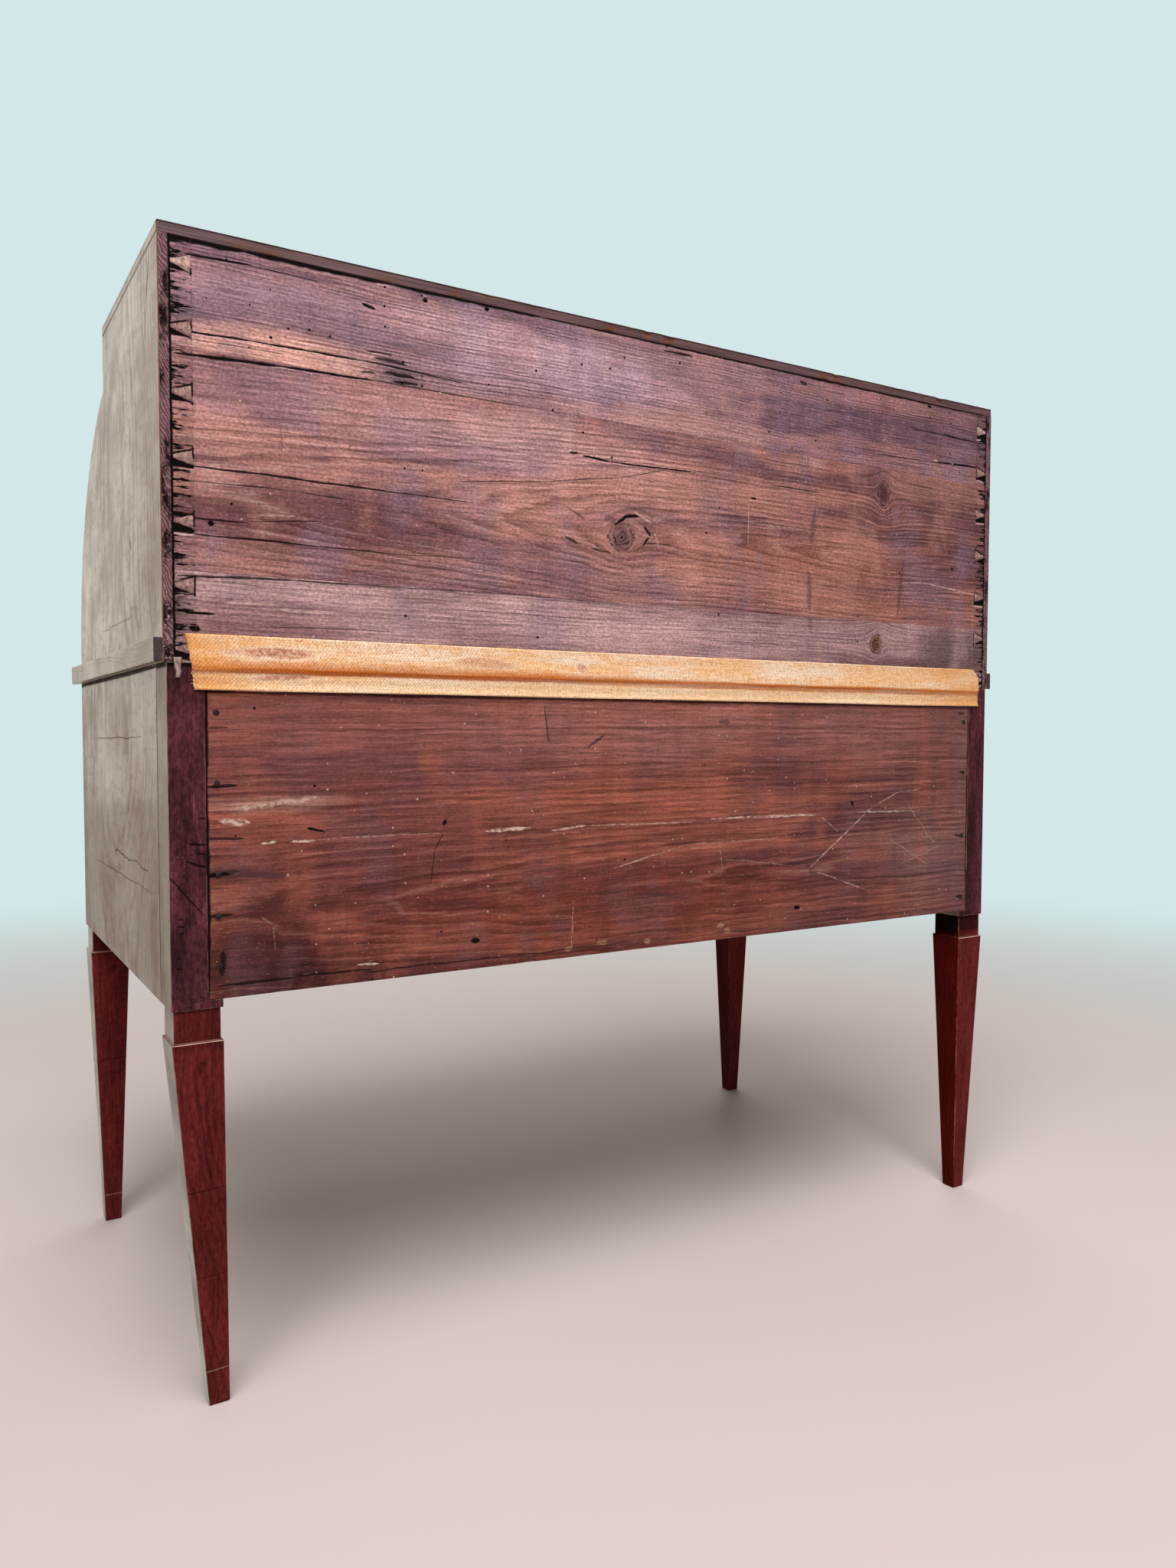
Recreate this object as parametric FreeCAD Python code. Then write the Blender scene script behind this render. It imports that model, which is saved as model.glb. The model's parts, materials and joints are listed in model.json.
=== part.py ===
"""Cylinder desk: a lower case of five drawers on tapered legs, and an upper case with a turning cylinder,
a writing slide and a nest of pigeonholes.

Lengths are in millimetres and angles in degrees. +X is the sitter's right, +Y the back, +Z up. The origin is
on the floor, in the middle of the outline. "Depth" is measured forward from the back face of both cases.
"""
import FreeCAD
import Part
import math
import os
from FreeCAD import Vector
from typing import NamedTuple

# Both cases
CASE_WIDTH = 997.0
LOWER_INSET = 2.5
FRONT_LEDGE = 23.0
TOP_DEPTH = 283.0
ARC_RADIUS = 274.0
ARC_PAST_BACK = 68.0
PIVOT_RISE = 24.5
HEADROOM = 42.5

# Heights, from the floor up
LEG_LENGTH = 328.5
NECK_HEIGHT = 27.5
POST_HEIGHT = 287.5
TOP_THICKNESS = 9.5

# Posts and legs
POST_SIZE = 42.0
LEG_TOP_SIZE = 42.0
LEG_FOOT_SIZE = 17.7
NECK_SIZE = 38.0
LEG_TENON_SIZE = 15.0
LEG_TENON_LENGTH = 45.0
LEAN_INWARD = 20.0
LEAN_FORWARD = 16.0

# Lower case panels
SIDE_PANEL_THICKNESS = 18.0
TONGUE_THICKNESS = 8.0
TONGUE_LENGTH = 6.0
BACK_BOARD_THICKNESS = 13.0
BACK_BOARD_LAP = 12.0
BACK_BOARD_RISE = 7.0
DUST_BOARD_THICKNESS = 12.0
PARTITION_THICKNESS = 18.0
KNEEHOLE_WIDTH = 392.0

# Nails of the lower back board, heights above the post's bottom
NAIL_HEIGHTS_RIGHT = (35.0, 77.0, 112.0, 188.0, 247.0)
NAIL_HEIGHTS_LEFT = (25.0, 103.0, 182.0, 245.0)
NAIL_EDGE = 9.0
NAIL_HEAD_RADIUS = 3.5
NAIL_HEAD_HEIGHT = 1.4
NAIL_PROUD = 0.5
NAIL_SHANK_RADIUS = 1.6
NAIL_LENGTH = 27.0

# Rails, runners and guides of the drawers
RAIL_DEPTH = 40.0
RAIL_TENON = 8.0
RAIL_SHOULDER = 3.0
TOP_RAIL_HEIGHT = 22.0
BOTTOM_RAIL_HEIGHT = 18.0
MIDDLE_RAIL_HEIGHT = 16.0
MIDDLE_RAIL_RISE = 141.0
KNEEHOLE_RAIL_HEIGHT = 14.0
CENTRE_DRAWER_OPENING = 75.0
RUNNER_HEIGHT = 12.0
RUNNER_BEARING = 12.0
GUIDE_HEIGHT = 25.0

# Upper case
UPPER_SIDE_THICKNESS = 26.0
PLANK_THICKNESS = 20.0
DOVETAIL_LAP = 9.0
PIN_COUNT = 7
PIN_BASE = 16.0
PIN_TIP = 4.0
TOP_PIN_DROP = 21.0
BOTTOM_PIN_RISE = 11.0
PLANK_JOINT_ABOVE_PIN = 12.0
PLANK_JOINT_BELOW_PIN = 15.0
FACIA_THICKNESS = 20.0
FACIA_TONGUE = 6.0
FACIA_GAP = 1.5
MOULDING_HEIGHT = 19.8
MOULDING_PROJECTION = 7.0
DOWEL_RADIUS = 3.5
DOWEL_LENGTH = 40.0

# Linen tape over the joint of the cases
TAPE_END_MARGIN = 16.5
TAPE_WIDTH = 46.0
TAPE_BELOW_JOINT = 22.5
TAPE_THICKNESS = 1.2
FOLD_RISE = 18.0
FOLD_WIDTH = 9.0
FOLD_HEIGHT = 2.4

# Writing slide
SLIDE_THICKNESS = 13.0
SLIDE_UNDER_PLAY = 0.3
SLIDE_END_PLAY = 1.0
SLIDE_REAR_ROOM = 10.0
SLIDE_TOP_PLAY = 1.0
STRIP_GAP = 0.5
LEATHER_THICKNESS = 1.5
LEATHER_END_MARGIN = 50.0
LEATHER_FRONT_MARGIN = 28.0
LEATHER_DEPTH = 240.0

# Cylinder
CYLINDER_RECESS = 3.0
CYLINDER_THICKNESS = 20.0
CYLINDER_END_PLAY = 2.0
CYLINDER_SLIDE_GAP = 1.5
CYLINDER_LAP_ANGLE = 4.0
STAVE_COUNT = 8
BOTTOM_RAIL_ANGLE = 6.0
RIB_WIDTH = 20.0
RIB_DEPTH = 15.0
RIB_END_ANGLE = 3.0
ARM_THICKNESS = 4.0
ARM_WIDTH = 22.0
ARM_ANGLE = 25.0
ARM_EYE_RADIUS = 10.0
ARM_FOOT_ANGLE = 14.0
ARM_FOOT_EDGE = 1.0
ARM_SCREW_ANGLE = 10.0
SCREW_HEAD_RADIUS = 3.5
SCREW_HEAD_HEIGHT = 2.0
SCREW_SHANK_RADIUS = 1.8
SCREW_LENGTH = 18.0
PIVOT_RADIUS = 4.0
PIVOT_FIT = 0.06
PIVOT_HEAD_RADIUS = 7.0
PIVOT_HEAD_HEIGHT = 1.8
PIVOT_HEAD_PLAY = 0.3
PIVOT_DEPTH_IN_SIDE = 13.0

# Nest of pigeonholes
NEST_FLOOR_THICKNESS = 10.0
NEST_HOUSING = 6.0
NEST_SETBACK = 21.0
NEST_CLEARANCE = 5.0
NEST_BOARD = 8.0
NEST_CELLS = 5
NEST_SHELF = 6.0
NEST_DRAWER_OPENING = 57.0

# Drawers
DRAWER_REAR_ROOM = 10.0
DRAWER_FRONT_GROOVE = 6.0
DRAWER_SIDE_GROOVE = 4.0
DRAWER_BOTTOM_RISE = 8.0
DRAWER_SIDE_DROP = 3.0
DRAWER_BACK_DROP = 6.0
DRAWER_SEAT_PLAY = 0.3


class Stock(NamedTuple):
    """Board thicknesses of a drawer, its play in the opening and the lap of its sides in the front."""

    front: float
    side: float
    bottom: float
    play: float
    lap: float


class Knob(NamedTuple):
    """Sizes of a turned knob with a base, a neck and a ball, and a shank through the board."""

    ball: float
    neck: float
    base: float
    base_height: float
    reach: float
    shank: float


class Opening(NamedTuple):
    """Opening of a drawer: its limits in X and Z, and in depth from its rear to its front face."""

    x0: float
    x1: float
    z0: float
    z1: float
    rear: float
    front: float


CASE_STOCK = Stock(front=18.0, side=9.0, bottom=6.0, play=1.0, lap=10.0)
NEST_STOCK = Stock(front=10.0, side=6.0, bottom=4.0, play=0.7, lap=5.0)
DRAWER_KNOB = Knob(ball=10.5, neck=5.0, base=11.0, base_height=2.0, reach=26.0, shank=3.0)
CYLINDER_KNOB = Knob(ball=10.5, neck=5.0, base=11.0, base_height=2.5, reach=26.0, shank=3.0)
SLIDE_KNOB = Knob(ball=6.5, neck=3.5, base=7.0, base_height=1.5, reach=16.0, shank=2.5)
NEST_KNOB = Knob(ball=5.5, neck=3.0, base=5.5, base_height=1.2, reach=13.0, shank=2.0)
CYLINDER_KNOB_X = 205.0
SLIDE_KNOB_X = 330.0
SLIDE_KNOB_SHANK = 14.0
CENTRE_DRAWER_KNOB_X = 120.0

# Levels and planes worked out from the sizes above
POST_BOTTOM = LEG_LENGTH + NECK_HEIGHT
JOINT_Z = POST_BOTTOM + POST_HEIGHT
PIVOT_DEPTH = ARC_RADIUS - ARC_PAST_BACK
PIVOT_Z = JOINT_Z + PIVOT_RISE
UPPER_SIDE_HEIGHT = PIVOT_RISE + ARC_RADIUS + HEADROOM
SIDE_TOP = JOINT_Z + UPPER_SIDE_HEIGHT
PIN_PITCH = (UPPER_SIDE_HEIGHT - TOP_PIN_DROP - BOTTOM_PIN_RISE) / (PIN_COUNT - 1)
BOTTOM_PLANK_HEIGHT = BOTTOM_PIN_RISE + PIN_PITCH + PLANK_JOINT_ABOVE_PIN
TOP_PLANK_HEIGHT = TOP_PIN_DROP + PIN_PITCH + PLANK_JOINT_BELOW_PIN
SIDE_FRONT = PIVOT_DEPTH + ARC_RADIUS
LOWER_DEPTH = SIDE_FRONT + FRONT_LEDGE
STRIP_FRONT = LOWER_DEPTH + MOULDING_PROJECTION
UPPER_X = CASE_WIDTH / 2
LOWER_X = UPPER_X - LOWER_INSET
POST_INNER_X = LOWER_X - POST_SIZE
PANEL_INNER_X = LOWER_X - SIDE_PANEL_THICKNESS
UPPER_INNER_X = UPPER_X - UPPER_SIDE_THICKNESS
PARTITION_INNER_X = KNEEHOLE_WIDTH / 2
PARTITION_OUTER_X = PARTITION_INNER_X + PARTITION_THICKNESS
FRONT_POST_REAR = LOWER_DEPTH - POST_SIZE
RAIL_REAR = LOWER_DEPTH - RAIL_DEPTH
TOP_RAIL_Z = JOINT_Z - TOP_RAIL_HEIGHT
DUST_Z = JOINT_Z - DUST_BOARD_THICKNESS
BOTTOM_RAIL_TOP = POST_BOTTOM + BOTTOM_RAIL_HEIGHT
MIDDLE_RAIL_Z = POST_BOTTOM + MIDDLE_RAIL_RISE
MIDDLE_RAIL_TOP = MIDDLE_RAIL_Z + MIDDLE_RAIL_HEIGHT
KNEEHOLE_RAIL_TOP = TOP_RAIL_Z - CENTRE_DRAWER_OPENING
KNEEHOLE_RAIL_Z = KNEEHOLE_RAIL_TOP - KNEEHOLE_RAIL_HEIGHT
DRAWER_REAR = BACK_BOARD_THICKNESS + DRAWER_REAR_ROOM
SLIDE_Z = JOINT_Z + SLIDE_UNDER_PLAY
SLIDE_TOP = SLIDE_Z + SLIDE_THICKNESS
SLIDE_X = UPPER_INNER_X - SLIDE_END_PLAY
STRIP_REAR = SIDE_FRONT + STRIP_GAP
NEST_FLOOR_Z = SLIDE_TOP + SLIDE_TOP_PLAY
NEST_FLOOR_TOP = NEST_FLOOR_Z + NEST_FLOOR_THICKNESS
NEST_FRONT = PIVOT_DEPTH - NEST_SETBACK
CYLINDER_OUTER = ARC_RADIUS - CYLINDER_RECESS
CYLINDER_INNER = CYLINDER_OUTER - CYLINDER_THICKNESS
CYLINDER_X = UPPER_INNER_X - CYLINDER_END_PLAY
CYLINDER_TOP_ANGLE = math.degrees(math.acos((TOP_DEPTH - PIVOT_DEPTH) / CYLINDER_OUTER)) + CYLINDER_LAP_ANGLE
STAVE_ANGLE = (CYLINDER_TOP_ANGLE - BOTTOM_RAIL_ANGLE) / STAVE_COUNT
CYLINDER_KNOB_ANGLE = BOTTOM_RAIL_ANGLE + STAVE_ANGLE / 2
FACET_RADIUS = CYLINDER_INNER * math.cos(math.radians(STAVE_ANGLE / 2))
RIB_INNER = CYLINDER_INNER - RIB_DEPTH
ARM_OUTER_X = CYLINDER_X
ARM_INNER_X = ARM_OUTER_X - ARM_THICKNESS
NEST_TOP_Z = PIVOT_Z + math.sqrt((RIB_INNER - NEST_CLEARANCE) ** 2 - (PIVOT_DEPTH - PLANK_THICKNESS) ** 2)
TAPE_REACH = TAPE_THICKNESS + FOLD_HEIGHT
FRONT_REACH = max(STRIP_FRONT + SLIDE_KNOB.reach, LOWER_DEPTH + DRAWER_KNOB.reach)
BACK_Y = (FRONT_REACH - TAPE_REACH) / 2
FORWARD = Vector(0, -1, 0)
ALONG_X = Vector(1, 0, 0)


def y_at(depth):
    """Y of a depth measured forward from the back face."""
    return BACK_Y - depth


def block(x0, x1, depth0, depth1, z0, z1):
    """Rectangular block between the given limits."""
    corner = Vector(x0, y_at(depth1), z0)
    return Part.makeBox(x1 - x0, depth1 - depth0, z1 - z0, corner)


def at(x, depth, z):
    """Point at a place given by its depth."""
    return Vector(x, y_at(depth), z)


def polar(x, radius, angle):
    """Point on a circle about the cylinder's axis: 0 degrees is forward, 90 is up."""
    turn = math.radians(angle)
    return at(x, PIVOT_DEPTH + radius * math.cos(turn), PIVOT_Z + radius * math.sin(turn))


def outward(angle):
    """Direction away from the cylinder's axis at an angle."""
    turn = math.radians(angle)
    return Vector(0, -math.cos(turn), math.sin(turn))


def line(start, end):
    """Straight edge."""
    return Part.LineSegment(start, end).toShape()


def arc(x, radius, start, end):
    """Edge along a circle about the cylinder's axis."""
    middle = polar(x, radius, (start + end) / 2)
    return Part.Arc(polar(x, radius, start), middle, polar(x, radius, end)).toShape()


def prism(edges, length, direction=ALONG_X):
    """Solid swept from a closed outline."""
    face = Part.Face(Part.Wire(edges))
    return face.extrude(direction * length)


def polygon_prism(points, length, direction=ALONG_X):
    """Solid swept from an outline of straight edges."""
    edges = [line(points[i - 1], points[i]) for i in range(len(points))]
    return prism(edges, length, direction)


def ring_sector(x0, x1, inner, outer, start, end):
    """Part of a ring about the cylinder's axis."""
    edges = [
        arc(x0, outer, start, end),
        line(polar(x0, outer, end), polar(x0, inner, end)),
        arc(x0, inner, end, start),
        line(polar(x0, inner, start), polar(x0, outer, start)),
    ]
    return prism(edges, x1 - x0)


def mirrored(shape):
    """The same piece on the other side of the desk."""
    return shape.mirror(Vector(0, 0, 0), ALONG_X)


def fused(shapes):
    """One solid from pieces that touch."""
    return shapes[0].multiFuse(shapes[1:]).removeSplitter()


def group(shapes):
    """Separate solids kept in one node."""
    return Part.makeCompound(shapes)


def knob(sizes, base, direction, board):
    """Turned knob standing on a board's face, with its shank through the board."""
    shank = Part.makeCylinder(sizes.shank, board, base, direction * -1)
    plate = Part.makeCylinder(sizes.base, sizes.base_height, base, direction)
    neck = Part.makeCylinder(sizes.neck, sizes.reach - sizes.ball, base, direction)
    ball = Part.makeSphere(sizes.ball, base + direction * (sizes.reach - sizes.ball))
    return fused([shank, plate, neck, ball])


def square(size, x, depth, z):
    """Closed square outline, level, about a middle point."""
    half = size / 2
    corners = [
        at(x - half, depth - half, z),
        at(x + half, depth - half, z),
        at(x + half, depth + half, z),
        at(x - half, depth + half, z),
    ]
    return Part.makePolygon(corners + corners[:1])


def post_middle(side, front):
    """Middle of a post in X and depth; side is -1 at the left and 1 at the right."""
    depth = LOWER_DEPTH - POST_SIZE / 2 if front else POST_SIZE / 2
    return side * (LOWER_X - POST_SIZE / 2), depth


def make_leg(side, front):
    """Tapered square leg with a neck, and a tenon for the post. The right rear leg leans."""
    x, depth = post_middle(side, front)
    leans = side > 0 and not front
    foot_x = x - LEAN_INWARD if leans else x
    foot_depth = depth + LEAN_FORWARD if leans else depth
    foot = square(LEG_FOOT_SIZE, foot_x, foot_depth, 0)
    shoulder = square(LEG_TOP_SIZE, x, depth, LEG_LENGTH)
    taper = Part.makeLoft([foot, shoulder], True, True)
    neck = upright(NECK_SIZE, x, depth, LEG_LENGTH, POST_BOTTOM)
    tenon = upright(LEG_TENON_SIZE, x, depth, POST_BOTTOM, POST_BOTTOM + LEG_TENON_LENGTH)
    return fused([taper, neck, tenon])


def upright(size, x, depth, z0, z1):
    """Square upright about a middle line."""
    half = size / 2
    return block(x - half, x + half, depth - half, depth + half, z0, z1)


def make_side_panel():
    """Right lower side panel, with a tongue into each post."""
    panel = block(PANEL_INNER_X, LOWER_X, POST_SIZE, FRONT_POST_REAR, POST_BOTTOM, JOINT_Z)
    middle = LOWER_X - SIDE_PANEL_THICKNESS / 2
    half = TONGUE_THICKNESS / 2
    rear, front = POST_SIZE - TONGUE_LENGTH, FRONT_POST_REAR + TONGUE_LENGTH
    tongue = block(middle - half, middle + half, rear, front, POST_BOTTOM, JOINT_Z)
    return fused([panel, tongue])


def make_back_board():
    """Wide board that closes the lower case at the back, lapped over the rear posts."""
    reach = POST_INNER_X + BACK_BOARD_LAP
    return block(-reach, reach, 0, BACK_BOARD_THICKNESS, POST_BOTTOM + BACK_BOARD_RISE, JOINT_Z)


def make_nails():
    """Forged nails through the back board into the rear posts."""
    nails = []
    for side, heights in ((1, NAIL_HEIGHTS_RIGHT), (-1, NAIL_HEIGHTS_LEFT)):
        x = side * (POST_INNER_X + BACK_BOARD_LAP - NAIL_EDGE)
        for height in heights:
            tip = at(x, NAIL_LENGTH, POST_BOTTOM + height)
            shank = Part.makeCylinder(NAIL_SHANK_RADIUS, NAIL_LENGTH, tip, FORWARD * -1)
            seat = at(x, NAIL_HEAD_HEIGHT - NAIL_PROUD, POST_BOTTOM + height)
            head = Part.makeCylinder(NAIL_HEAD_RADIUS, NAIL_HEAD_HEIGHT, seat, FORWARD * -1)
            nails.append(fused([shank, head]))
    return nails


def make_rail(x0, x1, z0, z1):
    """Rail across the front, with a stub tenon at each end."""
    rail = block(x0, x1, RAIL_REAR, LOWER_DEPTH, z0, z1)
    tenon = block(
        x0 - RAIL_TENON, x1 + RAIL_TENON,
        RAIL_REAR + RAIL_SHOULDER, LOWER_DEPTH - RAIL_SHOULDER,
        z0 + RAIL_SHOULDER, z1 - RAIL_SHOULDER,
    )
    return fused([rail, tenon])


def make_pedestal_rails():
    """Middle and bottom rails of the right pedestal."""
    levels = ((POST_BOTTOM, BOTTOM_RAIL_TOP), (MIDDLE_RAIL_Z, MIDDLE_RAIL_TOP))
    return [make_rail(PARTITION_OUTER_X, POST_INNER_X, z0, z1) for z0, z1 in levels]


def make_partition():
    """Right wall of the kneehole, from the back board to the front, under the top rail and the dust board."""
    depths = (BACK_BOARD_THICKNESS, LOWER_DEPTH)
    board = block(PARTITION_INNER_X, PARTITION_OUTER_X, *depths, POST_BOTTOM, TOP_RAIL_Z)
    if DUST_Z <= TOP_RAIL_Z:
        return board
    riser = block(
        PARTITION_INNER_X, PARTITION_OUTER_X, BACK_BOARD_THICKNESS, RAIL_REAR, TOP_RAIL_Z, DUST_Z,
    )
    return fused([board, riser])


def make_runners():
    """Runners and guides on the right half of the lower case, one pair for each drawer."""
    pieces = []
    for top in (BOTTOM_RAIL_TOP, MIDDLE_RAIL_TOP):
        inner_end = PARTITION_OUTER_X + RUNNER_BEARING
        outer_start = POST_INNER_X - RUNNER_BEARING
        foot = top - RUNNER_HEIGHT
        pieces.append(block(PARTITION_OUTER_X, inner_end, BACK_BOARD_THICKNESS, RAIL_REAR, foot, top))
        pieces.append(block(outer_start, PANEL_INNER_X, POST_SIZE, FRONT_POST_REAR, foot, top))
        pieces.append(block(POST_INNER_X, PANEL_INNER_X, POST_SIZE, FRONT_POST_REAR, top, top + GUIDE_HEIGHT))
    foot = KNEEHOLE_RAIL_TOP - RUNNER_HEIGHT
    start = PARTITION_INNER_X - RUNNER_BEARING
    pieces.append(
        block(start, PARTITION_INNER_X, BACK_BOARD_THICKNESS, RAIL_REAR, foot, KNEEHOLE_RAIL_TOP)
    )
    return pieces


def make_upper_side():
    """Right upper side: square at the back and the top, then down the arc to the front."""
    x = UPPER_INNER_X
    arc_top_angle = math.degrees(math.acos((TOP_DEPTH - PIVOT_DEPTH) / ARC_RADIUS))
    corners = [at(x, SIDE_FRONT, JOINT_Z), at(x, 0, JOINT_Z), at(x, 0, SIDE_TOP), at(x, TOP_DEPTH, SIDE_TOP)]
    arc_top = polar(x, ARC_RADIUS, arc_top_angle)
    arc_foot = polar(x, ARC_RADIUS, 0)
    edges = [line(corners[i], corners[i + 1]) for i in range(3)]
    edges.append(line(corners[3], arc_top))
    edges.append(arc(x, ARC_RADIUS, arc_top_angle, 0))
    edges.append(line(arc_foot, corners[0]))
    return prism(edges, UPPER_SIDE_THICKNESS)


def make_dovetail_pins():
    """Pins that the right side leaves between the tails of the back planks, widest at the inside."""
    tip_x = UPPER_X - DOVETAIL_LAP
    pins = []
    for i in range(PIN_COUNT):
        z = SIDE_TOP - TOP_PIN_DROP - i * PIN_PITCH
        points = [
            at(UPPER_INNER_X, 0, z - PIN_BASE / 2),
            at(tip_x, 0, z - PIN_TIP / 2),
            at(tip_x, 0, z + PIN_TIP / 2),
            at(UPPER_INNER_X, 0, z + PIN_BASE / 2),
        ]
        pins.append(polygon_prism(points, PLANK_THICKNESS, FORWARD))
    return pins


def make_back_planks():
    """Three horizontal planks of the upper back, from the bottom up."""
    reach = UPPER_X - DOVETAIL_LAP
    right_pins = make_dovetail_pins()
    pins = right_pins + [mirrored(pin) for pin in right_pins]
    levels = [JOINT_Z, JOINT_Z + BOTTOM_PLANK_HEIGHT, SIDE_TOP - TOP_PLANK_HEIGHT, SIDE_TOP]
    planks = []
    for low, high in zip(levels, levels[1:]):
        planks.append(block(-reach, reach, 0, PLANK_THICKNESS, low, high).cut(pins))
    return planks


def make_facia():
    """Rail under the front of the top board, hollowed below to let the cylinder pass."""
    reach = UPPER_INNER_X + FACIA_TONGUE
    rear = TOP_DEPTH - FACIA_THICKNESS
    board = block(-reach, reach, rear, TOP_DEPTH, PIVOT_Z, SIDE_TOP)
    path = Part.makeCylinder(CYLINDER_OUTER + FACIA_GAP, 2 * reach, at(-reach, PIVOT_DEPTH, PIVOT_Z), ALONG_X)
    return board.cut(path)


def make_dowels():
    """Dowels that locate the right upper side on the posts."""
    x = (UPPER_INNER_X + LOWER_X) / 2
    rear = (PLANK_THICKNESS + POST_SIZE - TONGUE_LENGTH) / 2
    front = (FRONT_POST_REAR + TONGUE_LENGTH + SIDE_FRONT) / 2
    foot = JOINT_Z - DOWEL_LENGTH / 2
    up = Vector(0, 0, 1)
    return [Part.makeCylinder(DOWEL_RADIUS, DOWEL_LENGTH, at(x, depth, foot), up) for depth in (rear, front)]


def make_tape():
    """Linen tape glued across the back over the joint, with one fold along it."""
    x = -(UPPER_X - TAPE_END_MARGIN)
    low = JOINT_Z - TAPE_BELOW_JOINT
    high = low + TAPE_WIDTH
    fold = low + FOLD_RISE
    outer = -TAPE_THICKNESS
    fold_foot = at(x, outer, fold - FOLD_WIDTH / 2)
    fold_top = at(x, outer, fold + FOLD_WIDTH / 2)
    ridge = at(x, outer - FOLD_HEIGHT, fold)
    edges = [
        line(at(x, 0, high), at(x, 0, low)),
        line(at(x, 0, low), at(x, outer, low)),
        line(at(x, outer, low), fold_foot),
        Part.Arc(fold_foot, ridge, fold_top).toShape(),
        line(fold_top, at(x, outer, high)),
        line(at(x, outer, high), at(x, 0, high)),
    ]
    return prism(edges, -2 * x)


def make_pivot_pin():
    """Right pivot pin: a head inside the arm and a shank driven into the side."""
    start = ARM_INNER_X - PIVOT_HEAD_PLAY
    length = UPPER_INNER_X + PIVOT_DEPTH_IN_SIDE - start
    shank = Part.makeCylinder(PIVOT_RADIUS, length, at(start, PIVOT_DEPTH, PIVOT_Z), ALONG_X)
    place = at(start - PIVOT_HEAD_HEIGHT, PIVOT_DEPTH, PIVOT_Z)
    head = Part.makeCylinder(PIVOT_HEAD_RADIUS, PIVOT_HEAD_HEIGHT, place, ALONG_X)
    return fused([shank, head])


def make_staves():
    """Coopered staves of the cylinder: round outside, flat inside."""
    x = -CYLINDER_X
    staves = []
    for i in range(STAVE_COUNT):
        start = BOTTOM_RAIL_ANGLE + i * STAVE_ANGLE
        end = start + STAVE_ANGLE
        edges = [
            arc(x, CYLINDER_OUTER, start, end),
            line(polar(x, CYLINDER_OUTER, end), polar(x, CYLINDER_INNER, end)),
            line(polar(x, CYLINDER_INNER, end), polar(x, CYLINDER_INNER, start)),
            line(polar(x, CYLINDER_INNER, start), polar(x, CYLINDER_OUTER, start)),
        ]
        staves.append(prism(edges, 2 * CYLINDER_X))
    return staves


def make_cylinder_rail():
    """Bottom rail of the cylinder, just above the writing slide."""
    x = -CYLINDER_X
    foot_z = SLIDE_TOP + CYLINDER_SLIDE_GAP
    inner_top = polar(x, CYLINDER_INNER, BOTTOM_RAIL_ANGLE)
    outer_foot = at(x, PIVOT_DEPTH + CYLINDER_OUTER, foot_z)
    inner_foot = Vector(x, inner_top.y, foot_z)
    edges = [
        line(outer_foot, polar(x, CYLINDER_OUTER, 0)),
        arc(x, CYLINDER_OUTER, 0, BOTTOM_RAIL_ANGLE),
        line(polar(x, CYLINDER_OUTER, BOTTOM_RAIL_ANGLE), inner_top),
        line(inner_top, inner_foot),
        line(inner_foot, outer_foot),
    ]
    return prism(edges, 2 * CYLINDER_X)


def make_rib(shells):
    """Right curved rib inside the cylinder, cut to the flat backs of the staves."""
    blank = ring_sector(
        ARM_INNER_X - RIB_WIDTH, ARM_INNER_X, RIB_INNER, CYLINDER_INNER,
        RIB_END_ANGLE, CYLINDER_TOP_ANGLE - RIB_END_ANGLE,
    )
    return blank.cut(shells)


def make_arm():
    """Right iron arm: an eye on the pivot, a bar, and a curved foot along the rib."""
    x = ARM_INNER_X
    eye = Part.makeCylinder(ARM_EYE_RADIUS, ARM_THICKNESS, at(x, PIVOT_DEPTH, PIVOT_Z), ALONG_X)
    across = outward(ARM_ANGLE + 90) * (ARM_WIDTH / 2 - ARM_FOOT_EDGE)
    near = polar(x, 0, 0)
    far = polar(x, RIB_INNER + RIB_DEPTH / 2, ARM_ANGLE)
    bar = polygon_prism([near - across, far - across, far + across, near + across], ARM_THICKNESS)
    foot = ring_sector(
        x, ARM_OUTER_X, RIB_INNER + ARM_FOOT_EDGE, FACET_RADIUS - ARM_FOOT_EDGE,
        ARM_ANGLE - ARM_FOOT_ANGLE, ARM_ANGLE + ARM_FOOT_ANGLE,
    )
    start = at(x, PIVOT_DEPTH, PIVOT_Z)
    bore = Part.makeCylinder(PIVOT_RADIUS + PIVOT_FIT, ARM_THICKNESS, start, ALONG_X)
    return fused([eye, bar, foot]).cut(bore)


def make_arm_screws():
    """Countersunk screws of the right arm."""
    radius = (RIB_INNER + FACET_RADIUS) / 2
    screws = []
    for step in (-1, 0, 1):
        start = polar(ARM_OUTER_X, radius, ARM_ANGLE + step * ARM_SCREW_ANGLE)
        inward = ALONG_X * -1
        head = Part.makeCone(SCREW_HEAD_RADIUS, SCREW_SHANK_RADIUS, SCREW_HEAD_HEIGHT, start, inward)
        shank = Part.makeCylinder(SCREW_SHANK_RADIUS, SCREW_LENGTH, start, inward)
        screws.append(fused([head, shank]))
    return screws


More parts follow.
